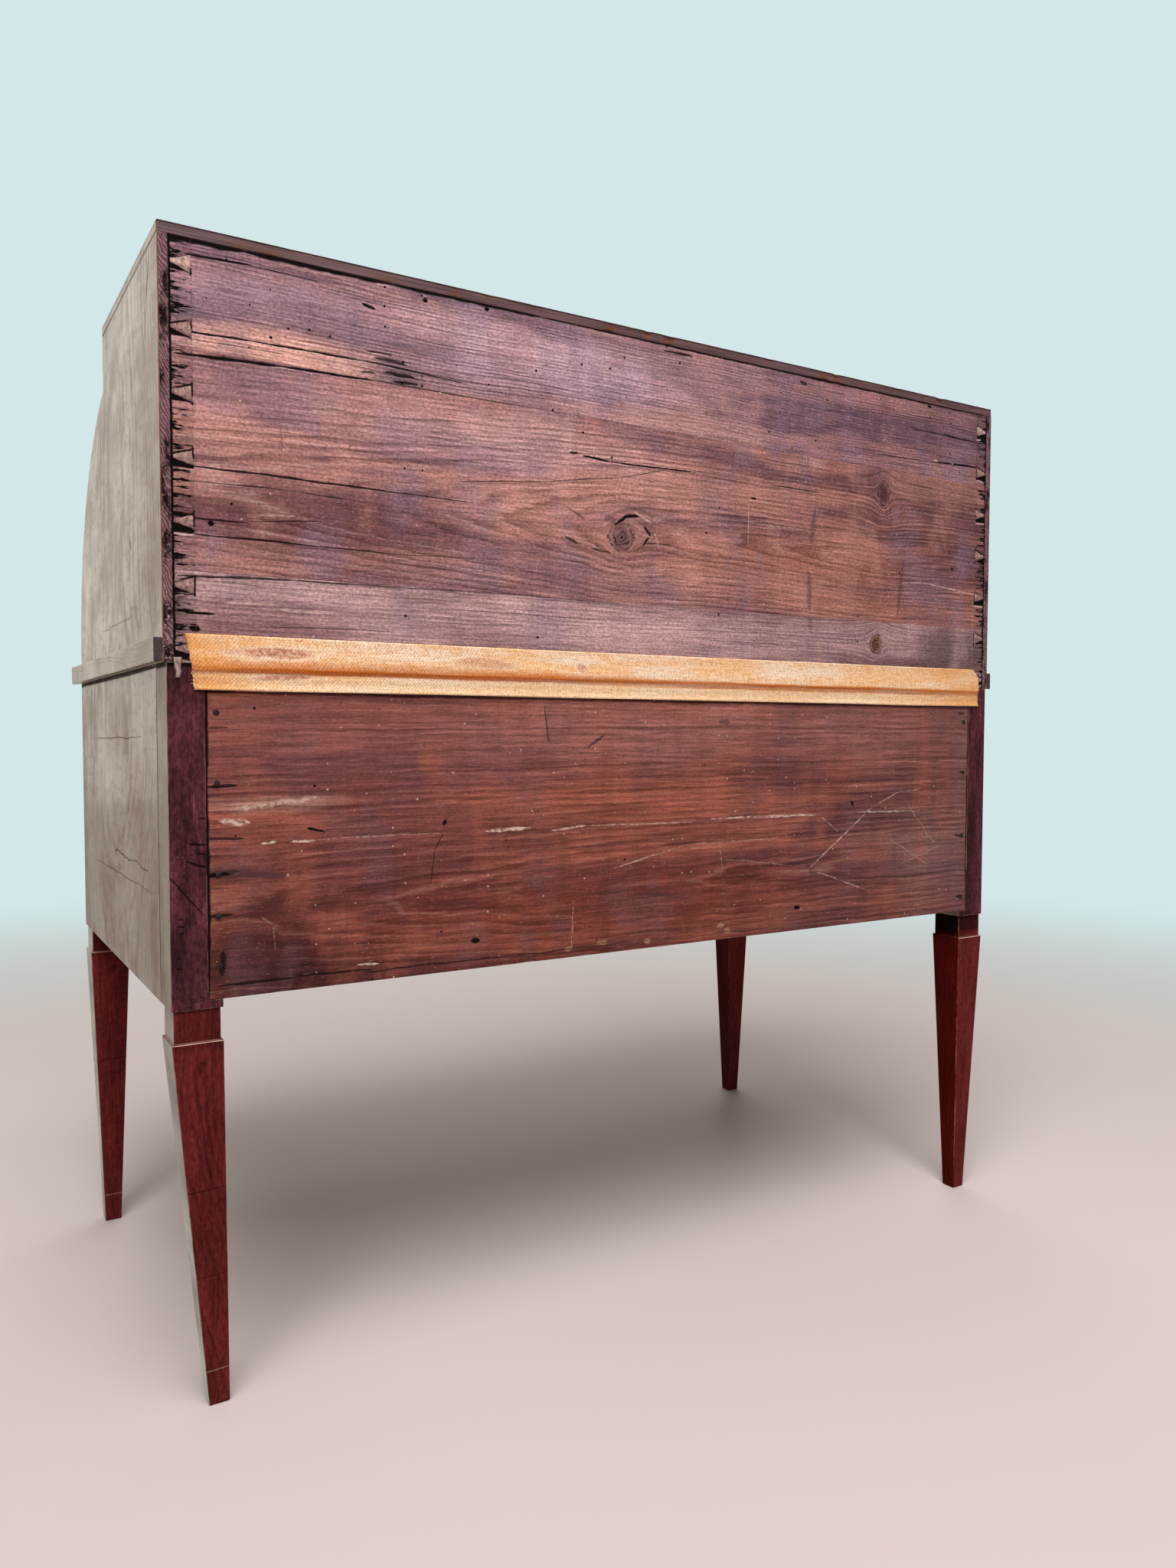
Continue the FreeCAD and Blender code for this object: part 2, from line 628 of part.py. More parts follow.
def make_cylinder():
    """The turning cylinder's pieces by node."""
    staves = make_staves()
    rail = make_cylinder_rail()
    right_rib = make_rib(staves + [rail])
    right_arm = make_arm()
    right_screws = make_arm_screws()
    right_rib = right_rib.cut(right_screws)
    right_arm = right_arm.cut(right_screws)
    knobs = []
    for side in (-1, 1):
        place = polar(side * CYLINDER_KNOB_X, CYLINDER_OUTER, CYLINDER_KNOB_ANGLE)
        knobs.append(knob(CYLINDER_KNOB, place, outward(CYLINDER_KNOB_ANGLE), CYLINDER_THICKNESS))
    staves[0] = staves[0].cut(knobs)
    return {
        "cylinder_staves": group(staves),
        "cylinder_bottom_rail": rail,
        "cylinder_ribs": group([right_rib, mirrored(right_rib)]),
        "cylinder_arms": group([right_arm, mirrored(right_arm)]),
        "arm_screws": group(right_screws + [mirrored(screw) for screw in right_screws]),
        "cylinder_knobs": group(knobs),
    }


def make_slide():
    """Writing slide with its leather, its moulded front strip and two knobs, by node."""
    board = block(
        -SLIDE_X, SLIDE_X, PLANK_THICKNESS + SLIDE_REAR_ROOM, STRIP_REAR, SLIDE_Z, SLIDE_TOP,
    )
    leather_front = STRIP_REAR - LEATHER_FRONT_MARGIN
    leather = block(
        -SLIDE_X + LEATHER_END_MARGIN, SLIDE_X - LEATHER_END_MARGIN,
        leather_front - LEATHER_DEPTH, leather_front, SLIDE_TOP - LEATHER_THICKNESS, SLIDE_TOP,
    )
    strip_x = UPPER_X - STRIP_GAP
    strip = block(-strip_x, strip_x, STRIP_REAR, STRIP_FRONT, SLIDE_Z, JOINT_Z + MOULDING_HEIGHT)
    knobs = []
    for side in (-1, 1):
        place = at(side * SLIDE_KNOB_X, STRIP_FRONT, JOINT_Z + MOULDING_HEIGHT / 2)
        knobs.append(knob(SLIDE_KNOB, place, FORWARD, SLIDE_KNOB_SHANK))
    return {
        "writing_slide": board.cut(leather),
        "slide_leather": leather,
        "slide_front_moulding": strip.cut(knobs),
        "slide_knobs": group(knobs),
    }


def drawer_pieces(opening, stock):
    """Front and the four boards of a drawer's box."""
    z0 = opening.z0 + DRAWER_SEAT_PLAY
    front = block(
        opening.x0 + stock.play, opening.x1 - stock.play,
        opening.front - stock.front, opening.front, z0, opening.z1 - stock.play,
    )
    side_front = opening.front - stock.front + stock.lap
    side_top = opening.z1 - DRAWER_SIDE_DROP
    left_x = opening.x0 + stock.play
    right_x = opening.x1 - stock.play
    left = block(left_x, left_x + stock.side, opening.rear, side_front, z0, side_top)
    right = block(right_x - stock.side, right_x, opening.rear, side_front, z0, side_top)
    bottom_z = z0 + DRAWER_BOTTOM_RISE
    bottom = block(
        left_x + stock.side - DRAWER_SIDE_GROOVE, right_x - stock.side + DRAWER_SIDE_GROOVE,
        opening.rear, opening.front - stock.front + DRAWER_FRONT_GROOVE,
        bottom_z, bottom_z + stock.bottom,
    )
    back = block(
        left_x + stock.side, right_x - stock.side, opening.rear, opening.rear + stock.side,
        bottom_z + stock.bottom, side_top - DRAWER_BACK_DROP,
    )
    left = left.cut(bottom)
    right = right.cut(bottom)
    front = front.cut([left, right, bottom])
    return front, [left, right, back, bottom]


def make_case_drawer(name, opening, knob_places):
    """One drawer of the lower case by node: front, box and knobs."""
    front, boards = drawer_pieces(opening, CASE_STOCK)
    middle = (opening.z0 + opening.z1) / 2
    knobs = [knob(DRAWER_KNOB, at(x, opening.front, middle), FORWARD, CASE_STOCK.front) for x in knob_places]
    return {
        name + "_front": front.cut(knobs),
        name + "_box": group(boards),
        name + "_knobs" if len(knobs) > 1 else name + "_knob": group(knobs),
    }


def make_case_drawers():
    """The five drawers of the lower case by node."""
    nodes = {}
    levels = {
        "lower": (BOTTOM_RAIL_TOP, MIDDLE_RAIL_Z),
        "upper": (MIDDLE_RAIL_TOP, TOP_RAIL_Z),
    }
    sides = {
        "left": (-POST_INNER_X, -PARTITION_OUTER_X),
        "right": (PARTITION_OUTER_X, POST_INNER_X),
    }
    for side, (x0, x1) in sides.items():
        for level, (z0, z1) in levels.items():
            opening = Opening(x0, x1, z0, z1, DRAWER_REAR, LOWER_DEPTH)
            nodes.update(make_case_drawer(f"{level}_{side}_drawer", opening, [(x0 + x1) / 2]))
    opening = Opening(
        -PARTITION_INNER_X, PARTITION_INNER_X, KNEEHOLE_RAIL_TOP, TOP_RAIL_Z, DRAWER_REAR, LOWER_DEPTH,
    )
    places = [-CENTRE_DRAWER_KNOB_X, CENTRE_DRAWER_KNOB_X]
    nodes.update(make_case_drawer("centre_drawer", opening, places))
    return nodes


def make_nest():
    """Nest of pigeonholes with a small drawer in each end cell, by node."""
    reach = UPPER_INNER_X + NEST_HOUSING
    floor = block(-reach, reach, PLANK_THICKNESS, NEST_FRONT, NEST_FLOOR_Z, NEST_FLOOR_TOP)
    ceiling = NEST_TOP_Z - NEST_BOARD
    top = block(-UPPER_INNER_X, UPPER_INNER_X, PLANK_THICKNESS, NEST_FRONT, ceiling, NEST_TOP_Z)
    cell = (2 * UPPER_INNER_X - (NEST_CELLS + 1) * NEST_BOARD) / NEST_CELLS
    boards = []
    for i in range(NEST_CELLS + 1):
        x = -UPPER_INNER_X + i * (cell + NEST_BOARD)
        boards.append(block(x, x + NEST_BOARD, PLANK_THICKNESS, NEST_FRONT, NEST_FLOOR_TOP, ceiling))
    drawers = {}
    shelf_z = NEST_FLOOR_TOP + NEST_DRAWER_OPENING
    starts = {"left": -UPPER_INNER_X + NEST_BOARD, "right": UPPER_INNER_X - NEST_BOARD - cell}
    for side, x0 in starts.items():
        boards.append(block(x0, x0 + cell, PLANK_THICKNESS, NEST_FRONT, shelf_z, shelf_z + NEST_SHELF))
        opening = Opening(
            x0, x0 + cell, NEST_FLOOR_TOP, shelf_z, PLANK_THICKNESS + DRAWER_REAR_ROOM, NEST_FRONT,
        )
        front, box = drawer_pieces(opening, NEST_STOCK)
        place = at(x0 + cell / 2, NEST_FRONT, (NEST_FLOOR_TOP + shelf_z) / 2)
        pull = knob(NEST_KNOB, place, FORWARD, NEST_STOCK.front)
        drawers[f"nest_{side}_drawer"] = group([front.cut(pull)] + box + [pull])
    return {"nest_floor": floor, "nest_top": top, "nest_dividers": group(boards), **drawers}


def make_lower_case():
    """Posts, legs, panels, rails and runners of the lower case, by node."""
    panel = make_side_panel()
    rails = make_pedestal_rails()
    right_rails = rails
    left_rails = [mirrored(rail) for rail in rails]
    top_rail = make_rail(-POST_INNER_X, POST_INNER_X, TOP_RAIL_Z, JOINT_Z)
    kneehole_rail = make_rail(-PARTITION_INNER_X, PARTITION_INNER_X, KNEEHOLE_RAIL_Z, KNEEHOLE_RAIL_TOP)
    right_partition = make_partition().cut(right_rails + [kneehole_rail])
    nails = make_nails()
    back_board = make_back_board()
    dowels = make_dowels()
    dowels += [mirrored(dowel) for dowel in dowels]
    runners = make_runners()
    runners += [mirrored(runner) for runner in runners]
    nodes = {}
    posts = []
    for side, side_name in ((-1, "left"), (1, "right")):
        side_panel = panel if side > 0 else mirrored(panel)
        for front, front_name in ((True, "front"), (False, "rear")):
            leg = make_leg(side, front)
            x, depth = post_middle(side, front)
            post = upright(POST_SIZE, x, depth, POST_BOTTOM, JOINT_Z)
            post = post.cut([leg, side_panel, top_rail, back_board] + left_rails + right_rails + nails + dowels)
            posts.append(post)
            nodes[f"{front_name}_{side_name}_leg"] = leg
            nodes[f"{front_name}_{side_name}_post"] = post
        nodes[f"lower_{side_name}_side"] = side_panel
    dust_board = block(
        -PANEL_INNER_X, PANEL_INNER_X, BACK_BOARD_THICKNESS, RAIL_REAR, DUST_Z, JOINT_Z,
    )
    nodes["lower_back_board"] = back_board.cut(nails)
    nodes["back_board_nails"] = group(nails)
    nodes["front_top_rail"] = top_rail
    nodes["right_partition"] = right_partition
    nodes["left_partition"] = mirrored(right_partition)
    nodes["drawer_rails"] = group(left_rails + right_rails + [kneehole_rail])
    nodes["drawer_runners"] = group(runners)
    nodes["dust_board"] = dust_board.cut(posts + [top_rail])
    nodes["case_dowels"] = group(dowels)
    return nodes, dowels


def make_upper_case(dowels, nest_floor):
    """Sides, back, top, facia, mouldings, tape and pivots of the upper case, by node."""
    planks = make_back_planks()
    facia = make_facia()
    pivot = make_pivot_pin()
    right_side = make_upper_side().cut(planks + [facia, pivot, nest_floor] + dowels)
    top = block(-UPPER_X, UPPER_X, 0, TOP_DEPTH, SIDE_TOP, SIDE_TOP + TOP_THICKNESS)
    moulding = block(
        UPPER_X, UPPER_X + MOULDING_PROJECTION, 0, STRIP_FRONT, JOINT_Z, JOINT_Z + MOULDING_HEIGHT,
    )
    return {
        "upper_right_side": right_side,
        "upper_left_side": mirrored(right_side),
        "back_plank_bottom": planks[0],
        "back_plank_middle": planks[1],
        "back_plank_top": planks[2],
        "top_board": top,
        "facia_rail": facia,
        "right_side_moulding": moulding,
        "left_side_moulding": mirrored(moulding),
        "seam_tape": make_tape(),
        "pivot_pins": group([pivot, mirrored(pivot)]),
    }


def main():
    """Builds every piece and writes one file for each node."""
    nodes, dowels = make_lower_case()
    nest = make_nest()
    nodes.update(nest)
    nodes.update(make_upper_case(dowels, nest["nest_floor"]))
    nodes.update(make_cylinder())
    nodes.update(make_slide())
    nodes.update(make_case_drawers())
    os.makedirs("parts", exist_ok=True)
    for name, shape in nodes.items():
        shape.exportStep(os.path.join("parts", name + ".step"))
    print(len(nodes), "nodes")


main()
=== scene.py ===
"""Looks of a cylinder desk: stained softwood back, linen tape, polished case and legs, and plain inner work.

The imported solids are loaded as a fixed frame, in metres. Each sub-assembly is a class that makes its own
pieces from that frame, dresses them in a finish and seats them on the body that carries them. Colours are
linear red, green and blue. Places on the back are given in millimetres as (across, height), where across
grows towards the sitter's right.
"""

import functools
import json
import logging
import math
from dataclasses import dataclass, field, replace
from enum import Enum
from typing import Callable, Optional, Sequence, Union

import bmesh
import bpy
from mathutils import Matrix, Vector, noise

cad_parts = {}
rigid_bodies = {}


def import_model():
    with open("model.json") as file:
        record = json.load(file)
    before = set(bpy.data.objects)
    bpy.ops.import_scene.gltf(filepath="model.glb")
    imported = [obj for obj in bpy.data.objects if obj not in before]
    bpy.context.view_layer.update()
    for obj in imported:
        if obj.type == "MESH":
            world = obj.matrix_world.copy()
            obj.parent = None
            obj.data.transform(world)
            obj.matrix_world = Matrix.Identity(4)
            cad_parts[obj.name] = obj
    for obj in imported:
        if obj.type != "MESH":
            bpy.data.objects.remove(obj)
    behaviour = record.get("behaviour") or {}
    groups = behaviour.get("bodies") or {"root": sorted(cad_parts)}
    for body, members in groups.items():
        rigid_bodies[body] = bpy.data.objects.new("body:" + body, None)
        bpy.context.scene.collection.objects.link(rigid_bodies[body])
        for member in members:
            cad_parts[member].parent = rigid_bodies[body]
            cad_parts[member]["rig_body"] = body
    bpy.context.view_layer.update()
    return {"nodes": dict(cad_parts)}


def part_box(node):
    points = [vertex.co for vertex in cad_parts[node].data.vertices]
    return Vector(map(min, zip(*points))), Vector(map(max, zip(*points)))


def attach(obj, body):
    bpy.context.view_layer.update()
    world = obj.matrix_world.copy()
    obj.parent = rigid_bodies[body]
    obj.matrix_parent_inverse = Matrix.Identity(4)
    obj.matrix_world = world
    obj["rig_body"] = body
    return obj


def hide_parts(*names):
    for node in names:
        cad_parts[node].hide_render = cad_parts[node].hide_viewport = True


LOG = logging.getLogger("desk")
MM = 0.001
NOWHERE = (0.0, 0.0, 0.0)
LEVEL = (1.0, 1.0, 0.0)
HANDS = ("left", "right")
FORWARD = Vector((0.0, -1.0, 0.0))

Socket = bpy.types.NodeSocket
Node = bpy.types.Node
Tree = bpy.types.NodeTree
Material = bpy.types.Material
Piece = bpy.types.Object
Face = bpy.types.MeshPolygon
Colour = tuple[float, float, float]
Place = tuple[float, float, float]
Spot = tuple[float, float]
Value = Union[float, Sequence[float], Socket, "Wire"]


class Grain(Enum):
    """Axes of the desk that run along, across and through the face of a board."""

    BACK = ("X", "Z", "Y")
    TOP = ("X", "Y", "Z")
    SIDE = ("Z", "Y", "X")
    UPRIGHT = ("Z", "X", "Y")
    DEPTH = ("Y", "Z", "X")


class Tone(Enum):
    """Colour and height of a kind of mark: below nought it is cut into the wood."""

    # The crack's dark tone also draws painted shadow lines under parts and painted shade at the necks of the
    # legs.
    CRACK_AND_SHADOW = ((0.004, 0.002, 0.002), -1.0)
    SMUDGE = ((0.085, 0.036, 0.040), 0.0)
    INK = ((0.030, 0.020, 0.040), 0.0)
    SCRATCH = ((0.74, 0.52, 0.44), -0.25)

    def __init__(self, colour: Colour, height: float) -> None:
        """Keeps the colour and the height."""
        self.colour = colour
        self.height = height


@dataclass(frozen=True)
class Wire:
    """Output of a node, to be reckoned with as a number or a vector."""

    graph: "Graph"
    socket: Socket

    def __add__(self, other: Value) -> "Wire":
        """Sum."""
        return self.graph.combine("ADD", self, other)

    def __sub__(self, other: Value) -> "Wire":
        """Difference."""
        return self.graph.combine("SUBTRACT", self, other)

    def __rsub__(self, other: float) -> "Wire":
        """Plain number less this."""
        return self.graph.combine("SUBTRACT", other, self)

    def __mul__(self, other: Value) -> "Wire":
        """Product."""
        if self.socket.type == "VECTOR" and isinstance(other, Wire) and other.socket.type == "VALUE":
            return self.graph.scaled(self, other)
        return self.graph.combine("MULTIPLY", self, other)

    def __truediv__(self, other: Value) -> "Wire":
        """Quotient."""
        return self.graph.combine("DIVIDE", self, other)

    def __rtruediv__(self, other: float) -> "Wire":
        """Plain number over this."""
        return self.graph.combine("DIVIDE", other, self)

    def __abs__(self) -> "Wire":
        """Size without the sign."""
        return self.graph.combine("ABSOLUTE", self)

    def fade(self, low: Value, high: Value, start: Value = 0.0, end: Value = 1.0) -> "Wire":
        """Smooth step from start, where this number is low, to end, where it is high."""
        step = self.graph.add(
            "ShaderNodeMapRange", self, low, high, start, end, interpolation_type="SMOOTHSTEP",
        )
        return Wire(self.graph, step.outputs[0])

    def fall(self, low: Value, high: Value) -> "Wire":
        """Smooth step from 1 down to 0."""
        return self.fade(low, high, 1.0, 0.0)

    def around(self, low: float, high: float, swing: float) -> "Wire":
        """Smooth step from swing under 1 to swing over 1."""
        return self.fade(low, high, 1.0 - swing, 1.0 + swing)

    def between(self, low: float, high: float, edge: float) -> "Wire":
        """1 inside a range and 0 outside it, with a soft step of half width edge at both ends."""
        return self.fade(low - edge, low + edge) * self.fall(high - edge, high + edge)

    def clamped(self) -> "Wire":
        """This number, kept between 0 and 1."""
        return self.graph.math("MINIMUM", self.graph.math("MAXIMUM", self, 0.0), 1.0)


class Graph:
    """Short calls that add and join the nodes of one tree."""

    NUMBERS = ("LENGTH", "DOT_PRODUCT", "DISTANCE")

    def __init__(self, tree: Tree) -> None:
        """Keeps the tree that the calls work on."""
        self.tree = tree

    def add(self, kind: str, *values: Value, **settings: object) -> Node:
        """Adds a node.

        Args:
            kind: the node's type.
            values: what its first inputs are fed, in order.
            settings: properties to set on it.

        Returns:
            The node.
        """
        node = self.tree.nodes.new(kind)
        for name, setting in settings.items():
            setattr(node, name, setting)
        for socket, value in zip(node.inputs, values):
            self.put(socket, value)
        return node

    def put(self, socket: Socket, value: Value) -> None:
        """Feeds a socket.

        Args:
            socket: the input to feed.
            value: an output to link to it, or a plain value.
        """
        if isinstance(value, Wire):
            value = value.socket
        if isinstance(value, bpy.types.NodeSocket):
            self.tree.links.new(value, socket)
        elif socket.type == "RGBA":
            socket.default_value = (*value[:3], 1.0)
        else:
            socket.default_value = value

    def feed(self, node: Node, **values: Value) -> dict[str, Wire]:
        """Feeds a node's inputs by name.

        Args:
            node: the node.
            values: what the inputs are fed, with underscores for the spaces in their names.

        Returns:
            The node's outputs by name.
        """
        for name, value in values.items():
            self.put(node.inputs[name.replace("_", " ")], value)
        return {socket.name: Wire(self, socket) for socket in node.outputs}

    def math(self, operation: str, *values: Value) -> Wire:
        """One number worked out from others."""
        return Wire(self, self.add("ShaderNodeMath", *values, operation=operation).outputs[0])

    def vector(self, operation: str, *values: Value) -> Wire:
        """One vector worked out from others, or one number where the operation gives a number."""
        node = self.add("ShaderNodeVectorMath", *values, operation=operation)
        return Wire(self, node.outputs[1 if operation in self.NUMBERS else 0])

    def combine(self, operation: str, *values: Value) -> Wire:
        """Works out a number, or a vector where one of the values is a vector.

        Args:
            operation: the sum to do.
            values: the values; beside a vector a plain number counts for all three axes.

        Returns:
            The result.
        """
        if all(value.socket.type == "VALUE" for value in values if isinstance(value, Wire)):
            return self.math(operation, *values)
        spread = [(value,) * 3 if isinstance(value, float) else value for value in values]
        return self.vector(operation, *spread)

    def scaled(self, vector: Wire, factor: Wire) -> Wire:
        """Vector times a number, which as a product would first be turned into a vector and kept longer."""
        node = self.add("ShaderNodeVectorMath", vector, operation="SCALE")
        return self.feed(node, Scale=factor)["Vector"]

    def chain(self, operation: str, *values: Value) -> Wire:
        """One number worked out from several, taken two by two."""
        return functools.reduce(functools.partial(self.math, operation), values)

    def most(self, *values: Value) -> Wire:
        """Largest of several numbers."""
        return self.chain("MAXIMUM", *values)

    def split(self, vector: Value) -> tuple[Wire, ...]:
        """The three numbers of a vector."""
        return tuple(Wire(self, socket) for socket in self.add("ShaderNodeSeparateXYZ", vector).outputs)

    def join(self, x: Value, y: Value, z: Value = 0.0) -> Wire:
        """Vector of three numbers."""
        return Wire(self, self.add("ShaderNodeCombineXYZ", x, y, z).outputs[0])

    def cloud(
        self, place: Wire, scale: Union[float, Sequence[float]], detail: float = 2.0,
        roughness: float = 0.5, colour: bool = False,
    ) -> Wire:
        """Soft noise.

        Args:
            place: where it is read.
            scale: features to the metre, for all axes or for each; a third that isn't given is 0.
            detail: how many finer layers it has.
            roughness: weight of the finer layers.
            colour: whether three numbers are wanted instead of one.

        Returns:
            The noise, about 0.5 on average.
        """
        factors = (scale,) * 3 if isinstance(scale, float) else (*scale, 0.0)[:3]
        # A node made before its inputs keeps more values in use, and a large material then renders black.
        stretched = place * factors
        node = self.add("ShaderNodeTexNoise", stretched, noise_dimensions="3D")
        self.feed(node, Scale=1.0, Detail=detail, Roughness=roughness)
        return Wire(self, node.outputs[1 if colour else 0])

    def dice(self, dimensions: str, **place: Value) -> Wire:
        """Random number from 0 to 1 that is the same for the same place."""
        return self.feed(self.add("ShaderNodeTexWhiteNoise", noise_dimensions=dimensions), **place)["Value"]

    def blend(self, factor: Value, first: Value, second: Value, mode: str = "MIX") -> Wire:
        """Mixes two colours.

        Args:
            factor: how much of the second.
            first: first colour.
            second: second colour.
            mode: how they mix.

        Returns:
            The mixed colour.
        """
        node = self.add("ShaderNodeMix", data_type="RGBA", blend_type=mode)
        for index, value in ((0, factor), (6, first), (7, second)):
            self.put(node.inputs[index], value)
        return Wire(self, node.outputs[2])

    def use(self, tree: Tree, **inputs: Value) -> dict[str, Wire]:
        """Places a shader group with its inputs by name, and gives its outputs by name."""
        return self.feed(self.add("ShaderNodeGroup", node_tree=tree), **inputs)


class GroupPlan(Graph):
    """Shader group in the making: named inputs, named outputs and the nodes between them."""

    def __init__(self, name: str, outputs: str, **inputs: Value) -> None:
        """Makes the group's sockets.

        Args:
            name: the group's name.
            outputs: names of its outputs, of which Place is a vector and any other a number.
            inputs: each input's name and first value.
        """
        super().__init__(bpy.data.node_groups.new(name, "ShaderNodeTree"))
        face = self.tree.interface
        for label, first in inputs.items():
            kind = "NodeSocketFloat" if isinstance(first, float) else "NodeSocketVector"
            face.new_socket(name=label, in_out="INPUT", socket_type=kind).default_value = first
        for label in outputs.split():
            kind = "NodeSocketVector" if label == "Place" else "NodeSocketFloat"
            face.new_socket(name=label, in_out="OUTPUT", socket_type=kind)
        self.source = self.add("NodeGroupInput")
        self.sink = self.add("NodeGroupOutput")

    def __getitem__(self, label: str) -> Wire:
        """An input by its name."""
        return Wire(self, self.source.outputs[label])

    def give(self, **outputs: Wire) -> Tree:
        """Feeds the outputs by name and gives the finished group."""
        self.feed(self.sink, **outputs)
        return self.tree


class Effects:
    """Shader groups that the finishes share, each built once."""

    def __init__(self) -> None:
        """Builds every group."""
        self.growth = self.make_growth()
        self.knot = self.make_knot()
        self.mark = self.make_mark()
        self.patch = self.make_patch()
        self.worm_holes = self.make_worm_holes()
        self.tail_gap = self.make_tail_gap()
        self.edge_wear = self.make_edge_wear()
        self.weave = self.make_weave()

    @staticmethod
    def make_growth() -> Tree:
        """Growth rings round a wandering pith, fine fibres, broad streaks of tone and cloudy haze.

        Tilt is how much deeper the pith lies for each metre along the grain, and Face the depth of the face.

        Returns:
            The group.
        """
        plan = GroupPlan(
            "wood growth", "Ring Early Fibre Tone Haze", Place=NOWHERE, Spacing=0.004, Across=0.0,
            Behind=0.06, Tilt=0.0, Face=0.0, Wander=0.02, Seed=0.0,
        )
        x, y, z = plan.split(plan["Place"])
        moved = plan["Place"] + plan.join(plan["Seed"], plan["Seed"] * 1.7, plan["Seed"])
        sway = (plan.cloud(moved, (2.2, 1.3, 1.3), 1.0) - 0.5) * plan["Wander"]
        roll = (plan.cloud(moved + (5.3, 1.9, 7.7), (2.6, 0.6, 0.6), 1.0) - 0.5) * plan["Wander"]
        across = y - plan["Across"] + sway
        behind = z - plan["Face"] + plan["Behind"] + plan["Tilt"] * x + roll
        ripple = (plan.cloud(moved, (13.0, 80.0, 80.0), 3.0) - 0.5) * 1.5
        phase = plan.vector("LENGTH", plan.join(across, behind)) / plan["Spacing"] + ripple
        part = plan.math("FRACT", phase)
        year = plan.dice("1D", W=plan.math("FLOOR", phase))
        faded = plan.cloud(moved, (9.0, 30.0, 30.0)).fade(0.3, 0.6, 0.45, 1.0)
        coarse = plan.cloud(moved, (16.0, 480.0, 480.0), 3.0, 0.65)
        fine = plan.cloud(moved, (60.0, 1400.0, 1400.0), 2.0, 0.6)
        return plan.give(
            Ring=part.fade(0.35, 0.86) * part.fall(0.88, 1.0) * (year.fade(0.0, 1.0, 0.25, 1.0) * faded),
            Early=part.between(0.06, 0.22, 0.06) * faded.fade(0.5, 1.0, 0.1, 1.0) * year.fade(0.2, 0.9),
            Fibre=coarse * 0.62 + fine * 0.38,
            Tone=plan.cloud(moved, (3.6, 24.0, 24.0), 4.0, 0.62),
            Haze=plan.cloud(moved, (17.0, 9.0, 9.0), 4.0, 0.6),
        )

    @staticmethod
    def make_knot() -> Tree:
        """Knot that the grain flows round: a ringed core in a darker eye, with broken dark rims.

        Returns:
            The group.
        """
        plan = GroupPlan(
            "knot", "Place Core Eye Rim Rings", Place=NOWHERE, Middle=NOWHERE, Radius=0.01, Stretch=1.0,
        )
        x, y, z = plan.split(plan["Place"])
        middle_x, middle_y = plan.split(plan["Middle"])[:2]
        across = y - middle_y
        flat = plan.join(x, y)
        crumple = (plan.cloud(flat, (75.0, 75.0), 4.0, 0.65, True) - 0.5) * (plan["Radius"] * 1.5)
        offset = plan.join((x - middle_x) / plan["Stretch"], across) + crumple * LEVEL
        share = plan.vector("LENGTH", offset) / plan["Radius"]
        squeeze = 1.0 - 1.0 / plan.math("POWER", plan.most(share / 1.6, 1.0), 1.5)
        broken = plan.cloud(flat, (120.0, 120.0), 3.0, 0.6)
        inner_rim = share.between(0.94, 1.10, 0.08) * broken.fade(0.44, 0.56)
        outer_rim = share.between(1.50, 1.66, 0.10) * broken.fade(0.58, 0.46)
        return plan.give(
            Place=plan.join(x, middle_y + across * squeeze, z),
            Core=share.fall(0.86, 1.04),
            Eye=share.fall(1.25, 2.0),
            Rim=plan.most(inner_rim, outer_rim, share.fall(0.10, 0.24)),
            Rings=plan.math("PINGPONG", share * 3.6 + (broken - 0.5) * 1.6, 1.0),
        )

    @staticmethod
    def make_mark() -> Tree:
        """Thin line between two places, tapered towards its ends.

        Returns:
            The group.
        """
        plan = GroupPlan(
            "line mark", "Mask", Place=NOWHERE, Drift=NOWHERE, Start=NOWHERE, End=NOWHERE, Width=0.001,
            Wobble=0.001, Rough=1.0,
        )
        from_start = plan["Place"] + plan["Drift"] * plan["Wobble"] - plan["Start"]
        line = plan["End"] - plan["Start"]
        share = plan.vector("DOT_PRODUCT", from_start, line) / plan.vector("DOT_PRODUCT", line, line)
        share = share.clamped()
        distance = plan.vector("DISTANCE", from_start, line * share)
        taper = 1.0 - plan.math("POWER", abs(share * 2.0 - 1.0), 4.0) * 0.7
        width = plan["Width"] * plan["Rough"] * taper
        return plan.give(Mask=distance.fall(width * 0.35, width))

    @staticmethod
    def make_patch() -> Tree:
        """Area from round to square, with an uneven soft edge.

        Returns:
            The group.
        """
        plan = GroupPlan(
            "patch", "Mask", Place=NOWHERE, Drift=NOWHERE, Middle=NOWHERE, Half=(0.01, 0.01, 1.0),
            Softness=0.4, Power=2.0, Wobble=0.002,
        )
        strayed = plan["Place"] + plan["Drift"] * plan["Wobble"]
        x, y = plan.split(abs((strayed - plan["Middle"]) / plan["Half"]))[:2]
        powers = plan.math("POWER", x, plan["Power"]) + plan.math("POWER", y, plan["Power"])
        reach = plan.math("POWER", powers, 1.0 / plan["Power"])
        return plan.give(Mask=reach.fall(1.0 - plan["Softness"], plan["Softness"] + 1.0))

    @staticmethod
    def make_worm_holes() -> Tree:
        """Small round holes scattered over a face.

        Returns:
            The group.
        """
        plan = GroupPlan("worm holes", "Mask", Place=NOWHERE, Cell=0.02, Radius=0.001, Share=0.2)
        node = plan.add("ShaderNodeTexVoronoi", voronoi_dimensions="2D", feature="F1")
        cells = plan.feed(node, Vector=plan["Place"], Scale=1.0 / plan["Cell"])
        chance, size = plan.split(cells["Color"])[:2]
        radius = plan["Radius"] * size.fade(0.0, 1.0, 0.6, 1.3)
        dot = (cells["Distance"] * plan["Cell"]).fall(radius * 0.6, radius)
        return plan.give(Mask=dot * plan.math("LESS_THAN", chance, plan["Share"]))

